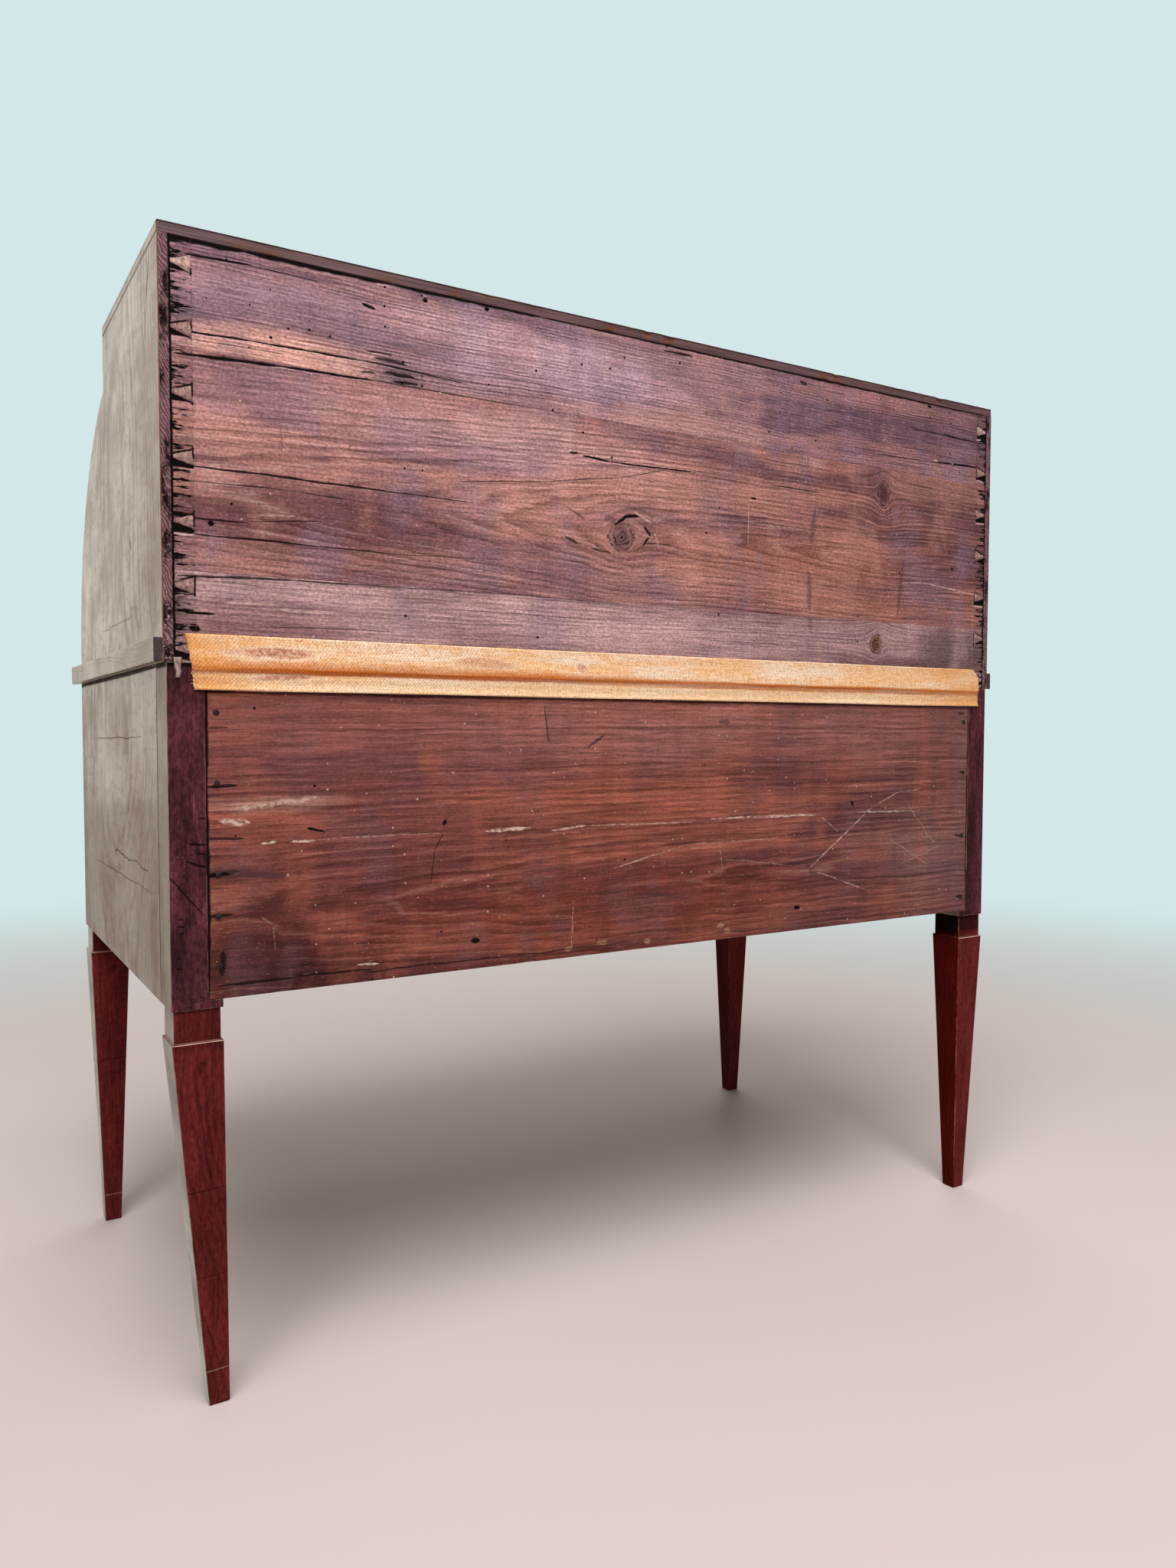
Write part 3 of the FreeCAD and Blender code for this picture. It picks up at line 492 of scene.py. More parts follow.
    @staticmethod
    def make_tail_gap() -> Tree:
        """Dark uneven gaps round the dovetail pins, wider below, and gouges among the tails, with a painted
        highlight on the sill under each gap and painted shade towards each pin's lower end.

        Returns:
            The group.
        """
        plan = GroupPlan(
            "tail gaps", "Gap Gouge Gauge Pin Lower Lit", Place=NOWHERE, First=0.9635, Pitch=0.0515,
            Inner=0.4725, Outer=0.4895, Base=0.008, Tip=0.002,
        )
        place = plan["Place"]
        base = plan["Base"]
        stray, lift, slip = plan.split(plan.cloud(place, (130.0, 130.0), 4.0, 0.65, True) - 0.5)
        x, z = plan.split(place)[:2]
        reach = abs(x) + stray * 0.0020
        from_inner = reach - plan["Inner"]
        from_outer = reach - plan["Outer"]
        from_first = z - plan["First"]
        half_pitch = plan["Pitch"] * 0.5
        height = plan.math("WRAP", from_first, half_pitch, half_pitch * -1.0)
        level = plan.math("FLOOR", from_first / plan["Pitch"] + 0.5)
        throw = plan.dice("2D", Vector=plan.join(level, plan.math("SIGN", x)))
        share = (from_inner / (plan["Outer"] - plan["Inner"])).clamped()
        half = (base - (base - plan["Tip"]) * share) * throw.fade(0.0, 1.0, 0.98, 0.74)
        below = height * -1.0 - half + lift * 0.0030
        above = height - half + slip * 0.0024
        sill = height + base * throw.fade(0.0, 1.0, 0.75, 1.3) + slip * 0.0020
        broken = plan.cloud(place, (60.0, 110.0), 3.0, 0.6)
        under = below.fade(-0.0010, -0.0003) * sill.fade(-0.0006, 0.0003)
        over = above.between(-0.0006, 0.0009, 0.0004) * broken.fade(0.42, 0.54)
        # Painted highlight on the sill just under each gap.
        lit = sill.between(-0.0024, -0.0010, 0.0005) * throw.fade(0.35, 0.60)
        within = from_inner.fade(-0.0007, 0.0003) * from_outer.fall(0.0, 0.001)
        at_base = from_inner.between(-0.0006, 0.0008, 0.0005) * broken.fade(0.40, 0.52)
        at_base = at_base * abs(height).fall(base, base + 0.002)
        at_end = from_outer.between(-0.0012, 0.0007, 0.0004)
        gauge = (abs(x) - plan["Inner"]).between(-0.0005, 0.0003, 0.0003)
        gouge = plan.cloud(place, (38.0, 250.0), 4.0, 0.65) + share * 0.10
        return plan.give(
            Gap=plan.most(plan.most(under, over) * within, at_base, at_end),
            Gouge=gouge.fade(0.600, 0.635) * within,
            Gauge=gauge * broken.fade(0.40, 0.55),
            Pin=within * plan.most(below, above).fall(-0.0012, -0.0004),
            # Mask of painted shade towards each pin's lower end.
            Lower=(height / half).fade(0.5, -0.9),
            Lit=lit * within,
        )

    @staticmethod
    def make_edge_wear() -> Tree:
        """Broken line of wear along the rounded edges of a piece.

        Returns:
            The group.
        """
        plan = GroupPlan("edge wear", "Mask", Place=NOWHERE, Edge=0.0, Amount=0.5)
        limit = 0.85 - plan["Amount"] * 0.5
        worn = plan.cloud(plan["Place"], 38.0, 4.0, 0.65).fade(limit - 0.12, limit + 0.05)
        return plan.give(Mask=plan["Edge"].fade(0.2, 0.8) * worn)

    @staticmethod
    def make_weave() -> Tree:
        """Plain weave of uneven threads, on a place in metres along and across the cloth.

        Returns:
            The group.
        """
        plan = GroupPlan("plain weave", "Height Slub", Place=NOWHERE, Thread=0.0011)
        place = plan["Place"]
        stray = (plan.cloud(place, (120.0, 120.0), 2.0, 0.5, True) - 0.5) * 0.0009
        x, y = plan.split(place + stray)[:2]
        turn = math.pi / plan["Thread"]
        over = plan.math("SINE", x * turn) * plan.math("SINE", y * turn)
        along = plan.cloud(place, (60.0, 900.0))
        down = plan.cloud(place, (900.0, 60.0))
        return plan.give(Height=over * 0.5 + 0.5, Slub=(along + down) * 0.5)


class Surface(Graph):
    """Material in the making: its shader, the place on the object, and the colour and heights so far."""

    def __init__(self, name: str, effects: Effects) -> None:
        """Makes a material with one shader.

        Args:
            name: the material's name.
            effects: the shared shader groups.
        """
        self.material = bpy.data.materials.new(name)
        self.material.use_nodes = True
        super().__init__(self.material.node_tree)
        self.tree.nodes.clear()
        self.effects = effects
        self.shader = self.add("ShaderNodeBsdfPrincipled")
        self.output = self.add("ShaderNodeOutputMaterial", self.shader.outputs[0])
        self.spot = Wire(self, self.add("ShaderNodeTexCoord").outputs["Object"])
        self.colour: Value = NOWHERE
        self.heights: list[Wire] = []

    def place(self, grain: Grain) -> Wire:
        """Place on the object with its axes along, across and through the grain."""
        axes = dict(zip("XYZ", self.split(self.spot)))
        return self.join(*(axes[axis] for axis in grain.value))

    def drift(self, place: Wire, scale: float) -> Wire:
        """Level vector that strays smoothly between about -1 and 1, with so many features to the metre."""
        return (self.cloud(place, scale, 3.0, 0.55, True) - 0.5) * (3.0, 3.0, 0.0)

    def tint(self, mask: Value, colour: Value, mode: str = "MIX") -> None:
        """Mixes a colour into the colour so far."""
        self.colour = self.blend(mask, self.colour, colour, mode)

    def shade(self, light: Wire) -> None:
        """Multiplies the colour so far by a number."""
        self.tint(1.0, light, "MULTIPLY")

    def wear(self, amount: float) -> Wire:
        """Mask of the wear along the edges that the piece's mesh marks."""
        edge = self.feed(self.add("ShaderNodeAttribute", attribute_name="edge"))["Fac"]
        return self.use(self.effects.edge_wear, Place=self.spot, Edge=edge, Amount=amount)["Mask"]

    def finish(self, strength: float, distance: float, **values: Value) -> None:
        """Feeds the shader with the colour, the heights and other values.

        Args:
            strength: how strong the relief looks.
            distance: the height of 1, in metres.
            values: other inputs of the shader.
        """
        height = sum(self.heights[1:], self.heights[0])
        bump = self.add("ShaderNodeBump")
        self.feed(bump, Strength=strength, Distance=distance, Height=height)
        self.feed(self.shader, Base_Color=self.colour, Normal=bump.outputs[0], **values)


def flat_point(spot: Spot, depth: float = 0.0) -> Place:
    """Place in metres of a spot in millimetres, with its third number as it is."""
    return spot[0] * MM, spot[1] * MM, depth


@dataclass(frozen=True)
class Mark:
    """Crack, scratch, ink line or smudge between two places, with its width and how far it strays, in mm."""

    tone: Tone
    start: Spot
    end: Spot
    width: float
    strength: float = 1.0
    wobble: float = 1.2

    def mask(self, surface: Surface, flat: Wire, drift: Wire, rough: Value = 1.0) -> Wire:
        """Mask of the mark.

        Args:
            surface: the material in the making.
            flat: place on the face.
            drift: smooth stray vector.
            rough: factor of the width.

        Returns:
            The mask.
        """
        line = surface.use(
            surface.effects.mark, Place=flat, Drift=drift, Start=flat_point(self.start),
            End=flat_point(self.end), Width=self.width * MM, Wobble=self.wobble * MM, Rough=rough,
        )
        return line["Mask"] * self.strength


def marks(tone: Tone, *rows: tuple[float, ...]) -> tuple[Mark, ...]:
    """Marks of one tone.

    Args:
        tone: their tone.
        rows: the start, the end and the width of each, and its strength and wobble where they aren't the
            usual.

    Returns:
        The marks.
    """
    return tuple(Mark(tone, row[:2], row[2:4], *row[4:]) for row in rows)


@dataclass(frozen=True)
class Patch:
    """Area of another colour: its middle and half sizes in mm, how strong, how soft and how square it is.

    rings adds to the darkness of the growth rings there.
    """

    middle: Spot
    half: Spot
    colour: Colour
    amount: float = 1.0
    softness: float = 0.4
    power: float = 2.5
    wobble: float = 4.0
    rings: float = 0.0

    def mask(self, surface: Surface, flat: Wire, drift: Wire) -> Wire:
        """Mask of the area.

        Args:
            surface: the material in the making.
            flat: place on the face.
            drift: smooth stray vector.

        Returns:
            The mask.
        """
        area = surface.use(
            surface.effects.patch, Place=flat, Drift=drift, Middle=flat_point(self.middle),
            Half=flat_point(self.half, 1.0), Softness=self.softness, Power=self.power,
            Wobble=self.wobble * MM,
        )
        return area["Mask"]


@dataclass(frozen=True)
class Knot:
    """Knot in a board: its middle and radius in mm, and how much longer it is along the grain."""

    middle: Spot
    radius: float
    stretch: float
    light: Colour
    dark: Colour


@dataclass(frozen=True)
class Finish:
    """Finish of a piece, which gives a surface its colour, gloss and relief."""

    name: str

    def lay(self, surface: Surface) -> None:
        """Lays the finish on a surface of its own."""
        raise NotImplementedError


@dataclass(frozen=True)
class StainedBoard(Finish):
    """Old stained softwood of the back: rings, fibres, knots, cracks, worm holes and wear.

    pith gives how far the pith lies across and behind the face, in mm. shade is the colour of a painted
    shade, multiplied in towards the sitter's left end. speck_light is how far small specks differ in light,
    and streak how far long bands along the grain do. lit is the colour of a painted highlight on the sills
    under the pins at the tails.
    """

    ground: Colour
    warm: Colour
    late: Colour
    shade: Colour
    pith: Spot
    pale: Colour = (0.72, 0.48, 0.44)
    # Colour of a painted sheen, a cool haze of reflection laid in where the haze is high.
    painted_sheen: Colour = (0.27, 0.175, 0.245)
    lit: Colour = (0.80, 0.62, 0.56)
    tilt: float = 0.0
    spacing: float = 3.6
    wander: float = 14.0
    seed: float = 0.0
    ring_weight: float = 0.75
    fibre_weight: float = 0.50
    haze_weight: float = 0.42
    worm_share: float = 0.03
    speck_share: float = 0.05
    speck_light: float = 0.28
    streak: float = 0.0
    tails: bool = True
    roughness: float = 0.55
    specular: float = 0.10
    knots: tuple[Knot, ...] = ()
    marks: tuple[Mark, ...] = ()
    patches: tuple[Patch, ...] = ()
    face: float = 0.2627

    def lay(self, surface: Surface) -> None:
        """Lays the wood, then its knots, marks and holes.

        Args:
            surface: the material in the making.
        """
        place = surface.place(Grain.BACK)
        flat = place * LEVEL
        drift = surface.drift(flat, 16.0)
        knots = []
        for knot in self.knots:
            node = surface.use(
                surface.effects.knot, Place=place, Middle=flat_point(knot.middle), Radius=knot.radius * MM,
                Stretch=knot.stretch,
            )
            place = node["Place"]
            knots.append((knot, node))
        growth = surface.use(
            surface.effects.growth, Place=place, Spacing=self.spacing * MM, Across=self.pith[0] * MM,
            Behind=self.pith[1] * MM, Tilt=self.tilt, Face=self.face, Wander=self.wander * MM,
            Seed=self.seed,
        )
        self.stain(surface, growth, flat, drift)
        fibre = growth["Fibre"]
        light = fibre.around(0.25, 0.75, self.fibre_weight)
        surface.shade(light)
        surface.shade(surface.cloud(flat, (330.0, 430.0), 2.0, 0.7).around(0.32, 0.68, self.speck_light))
        if self.streak:
            swayed = flat + drift * (0.0, 0.004, 0.0)
            surface.shade(surface.cloud(swayed, (7.0, 170.0), 3.0, 0.62).around(0.34, 0.66, self.streak))
        flecks = surface.cloud(flat, (150.0, 520.0), 3.0, 0.7)
        surface.tint(flecks.fade(0.42, 0.30, 0.0, 0.7), Tone.SMUDGE.colour)
        surface.tint(flecks.fade(0.59, 0.72, 0.0, 0.45), self.pale)
        for knot, node in knots:
            core = surface.blend(node["Rings"], knot.dark, knot.light)
            surface.tint(node["Eye"] * 0.5, surface.blend(0.5, knot.dark, knot.light))
            surface.tint(node["Core"], surface.blend(1.0, core, light, "MULTIPLY"))
            surface.tint(node["Rim"] * 0.9, Tone.CRACK_AND_SHADOW.colour)
            surface.heights.append(node["Rim"] * -0.8)
        self.draw_marks(surface, flat, drift)
        self.draw_holes(surface, flat)
        rough = fibre.fade(0.3, 0.7, self.roughness + 0.1, self.roughness - 0.08)
        darkness = surface.vector("LENGTH", surface.colour).fade(0.02, 0.10, 0.4, 0.0)
        surface.finish(0.8, 0.001, Roughness=rough + darkness, Specular_IOR_Level=self.specular)

    def stain(self, surface: Surface, growth: dict[str, Wire], flat: Wire, drift: Wire) -> None:
        """Lays the stained wood with its areas and rings, before its fibres and marks.

        Args:
            surface: the material in the making.
            growth: outputs of the growth group.
            flat: place on the face.
            drift: smooth stray vector.
        """
        fibre = growth["Fibre"]
        ring_weight: Value = self.ring_weight
        surface.colour = surface.blend(growth["Tone"].fade(0.40, 0.60), self.ground, self.warm)
        # Painted shade: the colour multiplied by the shade colour towards the sitter's left end.
        surface.tint(surface.split(flat)[0].fade(0.05, -0.30), self.shade, "MULTIPLY")
        for patch in self.patches:
            mask = patch.mask(surface, flat, drift)
            surface.tint(mask * fibre.fade(0.3, 0.7, 0.75, 1.0) * patch.amount, patch.colour)
            if patch.rings:
                ring_weight = mask * patch.rings + ring_weight
        # Painted sheen: the cool colour where the haze is high.
        surface.tint(growth["Haze"].fade(0.50, 0.66, 0.0, self.haze_weight), self.painted_sheen)
        surface.tint(growth["Haze"].fade(0.48, 0.32, 0.0, self.haze_weight), self.warm)
        surface.shade(surface.cloud(flat, (38.0, 3.5), 3.0, 0.6).around(0.36, 0.64, 0.07))
        surface.tint(growth["Early"] * 0.22, self.pale)
        ring = growth["Ring"] * ring_weight
        surface.tint(ring, surface.blend(1.0, surface.colour, self.late, "MULTIPLY"))
        surface.heights += [ring * 0.5, fibre * 0.6]

    def draw_marks(self, surface: Surface, flat: Wire, drift: Wire) -> None:
        """Draws the marks tone by tone, the scratches broken.

        Args:
            surface: the material in the making.
            flat: place on the face.
            drift: smooth stray vector.
        """
        rough = surface.cloud(flat, (70.0, 70.0), 3.0).fade(0.32, 0.68, 0.7, 1.2)
        for tone in Tone:
            masks = [mark.mask(surface, flat, drift, rough) for mark in self.marks if mark.tone is tone]
            if not masks:
                continue
            mask = surface.most(*masks)
            if tone is Tone.SCRATCH:
                mask = mask * surface.cloud(flat, (160.0, 300.0)).fade(0.42, 0.56, 0.2, 0.95)
            surface.tint(mask, tone.colour)
            surface.heights.append(mask * tone.height)

    def draw_holes(self, surface: Surface, flat: Wire) -> None:
        """Draws pale specks, worm holes, and the gaps and gouges of the dovetails.

        Args:
            surface: the material in the making.
            flat: place on the face.
        """
        effects = surface.effects
        apart = flat + (0.37, 0.11, 0.0)
        specks = surface.use(
            effects.worm_holes, Place=apart, Cell=0.012, Radius=0.0009, Share=self.speck_share,
        )
        surface.tint(specks["Mask"] * 0.7, Tone.SCRATCH.colour)
        worms = surface.use(effects.worm_holes, Place=flat, Cell=0.017, Radius=0.0012, Share=self.worm_share)
        holes = worms["Mask"]
        if self.tails:
            tails = surface.use(effects.tail_gap, Place=flat)
            surface.shade(abs(surface.split(flat)[0]).fade(0.4690, 0.4750, 1.0, 0.86))
            surface.tint(tails["Gauge"] * 0.5, Tone.SMUDGE.colour)
            # Painted highlight on the sills under the pin gaps.
            surface.tint(tails["Lit"] * 0.7, self.lit)
            holes = surface.most(holes, tails["Gap"], tails["Gouge"])
        surface.tint(holes, Tone.CRACK_AND_SHADOW.colour)
        surface.heights.append(holes * -1.6)


@dataclass(frozen=True)
class PolishedWood(Finish):
    """Fine-grained wood under old polish, worn along its edges.

    sheen is the weight of the clear coat, wave the height in mm of the slow unevenness that old polish
    shows, speckle how far small specks differ in light, grit the height in mm of fine scratches and dust,
    figure the height of the growth rings in tenths of a mm, streak how far the coat varies, blotch how far
    broad areas differ in light, spots the share of pale dots, and end the colour of the end grain where the
    piece shows one towards the back.
    """

    ground: Colour
    dark: Colour
    grain: Grain
    spacing: float = 2.4
    pith: Spot = (30.0, 90.0)
    wander: float = 50.0
    seed: float = 0.0
    ring_weight: float = 0.45
    fibre_weight: float = 0.16
    roughness: float = 0.32
    specular: float = 0.5
    sheen: float = 0.25
    wave: float = 0.12
    speckle: float = 0.12
    grit: float = 0.01
    figure: float = 0.05
    streak: float = 0.35
    blotch: float = 0.08
    spots: float = 0.0
    wear: Colour = (0.30, 0.17, 0.12)
    wear_amount: float = 0.5
    end: Optional[Colour] = None
    end_from: float = 0.2615
    end_scale: Place = (700.0, 0.0, 500.0)
    marks: tuple[Mark, ...] = ()

    def lay(self, surface: Surface) -> None:
        """Lays the wood, its marks, its end grain and its polish.

        Args:
            surface: the material in the making.
        """
        place = surface.place(self.grain)
        growth = self.colour_wood(surface, place)
        uneven = surface.cloud(place, (9.0, 21.0, 21.0), 3.0)
        rough = uneven.fade(0.3, 0.7, self.roughness - 0.07, self.roughness + 0.09)
        coat = self.polish(surface, growth, place)
        surface.heights += self.relief(surface, growth)
        if self.marks:
            cut = self.draw_marks(surface, place)
            rough = rough + cut * 0.5
            coat = coat * (1.0 - cut)
            surface.heights.append(cut * -4.0)
        if self.end:
            at_end = surface.split(surface.spot)[1].fade(self.end_from, self.end_from + 0.0006)
            pores = surface.cloud(surface.spot, self.end_scale, 4.0, 0.65).around(0.28, 0.72, 0.65)
            surface.tint(at_end, surface.blend(1.0, self.end, pores, "MULTIPLY"))
            rough = rough + at_end * 0.35
            coat = (1.0 - at_end) * coat
        surface.tint(surface.wear(self.wear_amount), self.wear)
        surface.finish(
            0.5, 0.0001, Roughness=rough, Specular_IOR_Level=self.specular, Coat_Weight=coat,
            Coat_Roughness=0.12,
        )

    def colour_wood(self, surface: Surface, place: Wire) -> dict[str, Wire]:
        """Lays the bare grain.

        Args:
            surface: the material in the making.
            place: place along, across and through the grain.

        Returns:
            Outputs of the growth group.
        """
        growth = surface.use(
            surface.effects.growth, Place=place, Spacing=self.spacing * MM, Across=self.pith[0] * MM,
            Behind=self.pith[1] * MM, Wander=self.wander * MM, Seed=self.seed,
        )
        share = growth["Ring"] * self.ring_weight + growth["Tone"].fade(0.35, 0.7, 0.0, 0.45)
        surface.colour = surface.blend(share, self.ground, self.dark)
        surface.shade(growth["Fibre"].around(0.25, 0.75, self.fibre_weight))
        surface.shade(surface.cloud(place, (190.0, 330.0, 330.0), 3.0, 0.7).around(0.32, 0.68, self.speckle))
        surface.shade(surface.cloud(place, (13.0, 55.0, 55.0), 4.0, 0.65).around(0.34, 0.66, self.blotch))
        if self.spots:
            holes = surface.effects.worm_holes
            dots = surface.use(holes, Place=place * LEVEL, Cell=0.0034, Radius=0.0006, Share=self.spots)
            clusters = surface.cloud(place, (12.0, 40.0, 40.0)).fade(0.50, 0.64, 0.0, 0.6)
            surface.tint(dots["Mask"] * clusters, self.wear)
        return growth

    def polish(self, surface: Surface, growth: dict[str, Wire], place: Wire) -> Wire:
        """Weight of the clear coat, thinner where the wood is figured and in fine streaks.

        Args:
            surface: the material in the making.
            growth: outputs of the growth group.
            place: place along, across and through the grain.

        Returns:
            The weight.
        """
        figured = growth["Haze"] + growth["Ring"] * 0.30
        lines = surface.cloud(place, (110.0, 34.0, 34.0), 5.0, 0.72).fade(0.34, 0.52, 1.0 - self.streak, 1.0)
        return figured.fade(0.36, 0.74, 1.3 * self.sheen, 0.3 * self.sheen) * lines

    def relief(self, surface: Surface, growth: dict[str, Wire]) -> list[Wire]:
        """Heights of the polished face, in tenths of a millimetre, to be added up.

        Args:
            surface: the surface.
            growth: the outputs of the wood growth.

        Returns:
            The heights.
        """
        return [
            surface.cloud(surface.spot, (7.0, 7.0, 5.0), 1.0) * (self.wave / 0.1),
            surface.cloud(surface.spot, (30.0, 30.0, 18.0)) * (3.0 * self.grit / 0.1),
            surface.cloud(surface.spot, (240.0, 240.0, 120.0), 3.0, 0.65) * (self.grit / 0.1),
            growth["Fibre"] * 0.14,
            growth["Ring"] * self.figure,
        ]

    def draw_marks(self, surface: Surface, place: Wire) -> Wire:
        """Draws the marks, placed along and across the grain.

        Args:
            surface: the material in the making.
            place: place along, across and through the grain.

        Returns:
            How far the marks cut through the polish.
        """
        flat = place * LEVEL
        drift = surface.drift(flat, 22.0)
        cuts = []
        for mark in self.marks:
            cuts.append(mark.mask(surface, flat, drift))
            surface.tint(cuts[-1], mark.tone.colour)
        return surface.most(*cuts)


@dataclass(frozen=True)
class VeneeredSide(Finish):
    """Upper side: polished veneer outside, and the core's torn edge with its dovetail pins at the back.

    stroke is the colour of the tool's strokes on the torn edge, hollow and fleck those of its darkest and
    palest places, and top_pin that of the uppermost pin.
    """

    veneer: PolishedWood
    core: Colour = (0.125, 0.056, 0.068)
    hollow: Colour = (0.010, 0.003, 0.005)
    stroke: Colour = (0.34, 0.200, 0.215)
    fleck: Colour = (0.60, 0.42, 0.38)
    pin: Colour = (0.38, 0.23, 0.20)
    top_pin: Colour = (0.52, 0.36, 0.30)
    inside: Colour = (0.17, 0.075, 0.040)
    veneer_from: float = 0.4973
    back_from: float = 0.2615

    def lay(self, surface: Surface) -> None:
        """Lays the veneer, the inside and the torn edge, each on its own part of the side.

        Args:
            surface: the material in the making.
        """
        veneer = self.veneer
        place = surface.place(veneer.grain)
        growth = veneer.colour_wood(surface, place)
        cut = veneer.draw_marks(surface, place)
        outside = surface.colour
        x, y, z = surface.split(surface.spot)
        is_veneer = abs(x).fade(self.veneer_from, self.veneer_from + 0.0004)
        is_back = y.fade(self.back_from, self.back_from + 0.0006)
        cut = cut * is_veneer
        torn = self.tear(surface, x, z) * (is_back * (1.0 - is_veneer))
        streaks = growth["Fibre"].around(0.25, 0.75, 0.2)
        inside = surface.blend(1.0, self.inside, streaks, "MULTIPLY")
        surface.colour = surface.blend(is_back, inside, surface.colour)
        surface.tint(is_veneer, outside)
        surface.tint(surface.wear(veneer.wear_amount) * is_veneer, veneer.wear)
        haze = surface.cloud(place, (5.0, 8.0, 8.0), 4.0, 0.6)
        gloss = haze.fade(0.3, 0.7, veneer.roughness - 0.05, veneer.roughness + 0.09)
        dull = surface.most(1.0 - is_veneer, cut)
        surface.heights += [*veneer.relief(surface, growth), torn, cut * -5.0]
        surface.finish(
            0.5, 0.0001, Roughness=gloss + dull * 0.4, Specular_IOR_Level=veneer.specular,
            Coat_Weight=veneer.polish(surface, growth, place) * (1.0 - dull), Coat_Roughness=0.1,
        )

    def tear(self, surface: Surface, x: Wire, z: Wire) -> Wire:
        """Colours the torn edge: slanting strokes, dark hollows, pale flecks, pins with painted shade towards
        their lower ends, and the gaps round them.

        Args:
            surface: the material in the making.
            x: place across the desk.
            z: height.

        Returns:
            The height of the torn edge, in tenths of a millimetre.
        """
        flat = surface.join(x, z)
        tails = surface.use(surface.effects.tail_gap, Place=flat)
        stray = surface.cloud(flat, (90.0, 40.0), 3.0) * 26.0
        strokes = surface.math("SINE", (z * 0.55 - abs(x)) * 2100.0 + stray)
        blotch = surface.cloud(flat, (90.0, 34.0), 4.0, 0.65)
        chatter = strokes.fade(-0.2, 0.9) * blotch.fade(0.62, 0.44)
        flecks = surface.cloud(flat, (420.0, 330.0), 3.0, 0.7).fade(0.56, 0.66)
        rough_pin = surface.cloud(flat, (260.0, 260.0), 4.0, 0.7)
        pins = surface.blend(z.fade(0.953, 0.957), self.pin, self.top_pin)
        pins = surface.blend(1.0, pins, rough_pin.around(0.3, 0.7, 0.65), "MULTIPLY")
        # Painted shade towards each pin's lower end.
        pins = surface.blend(tails["Lower"] * 0.6, pins, self.core)
        surface.colour = surface.blend(blotch.fade(0.46, 0.64), self.core, self.hollow)
        surface.tint(chatter * 0.8, self.stroke)
        surface.tint(flecks * z.fade(0.72, 0.68, 0.35, 0.95), self.fleck)
        surface.tint(tails["Pin"], pins)
        surface.tint(tails["Gap"], Tone.CRACK_AND_SHADOW.colour)
        return chatter * -2.0 + rough_pin * 4.0 + tails["Gap"] * -8.0


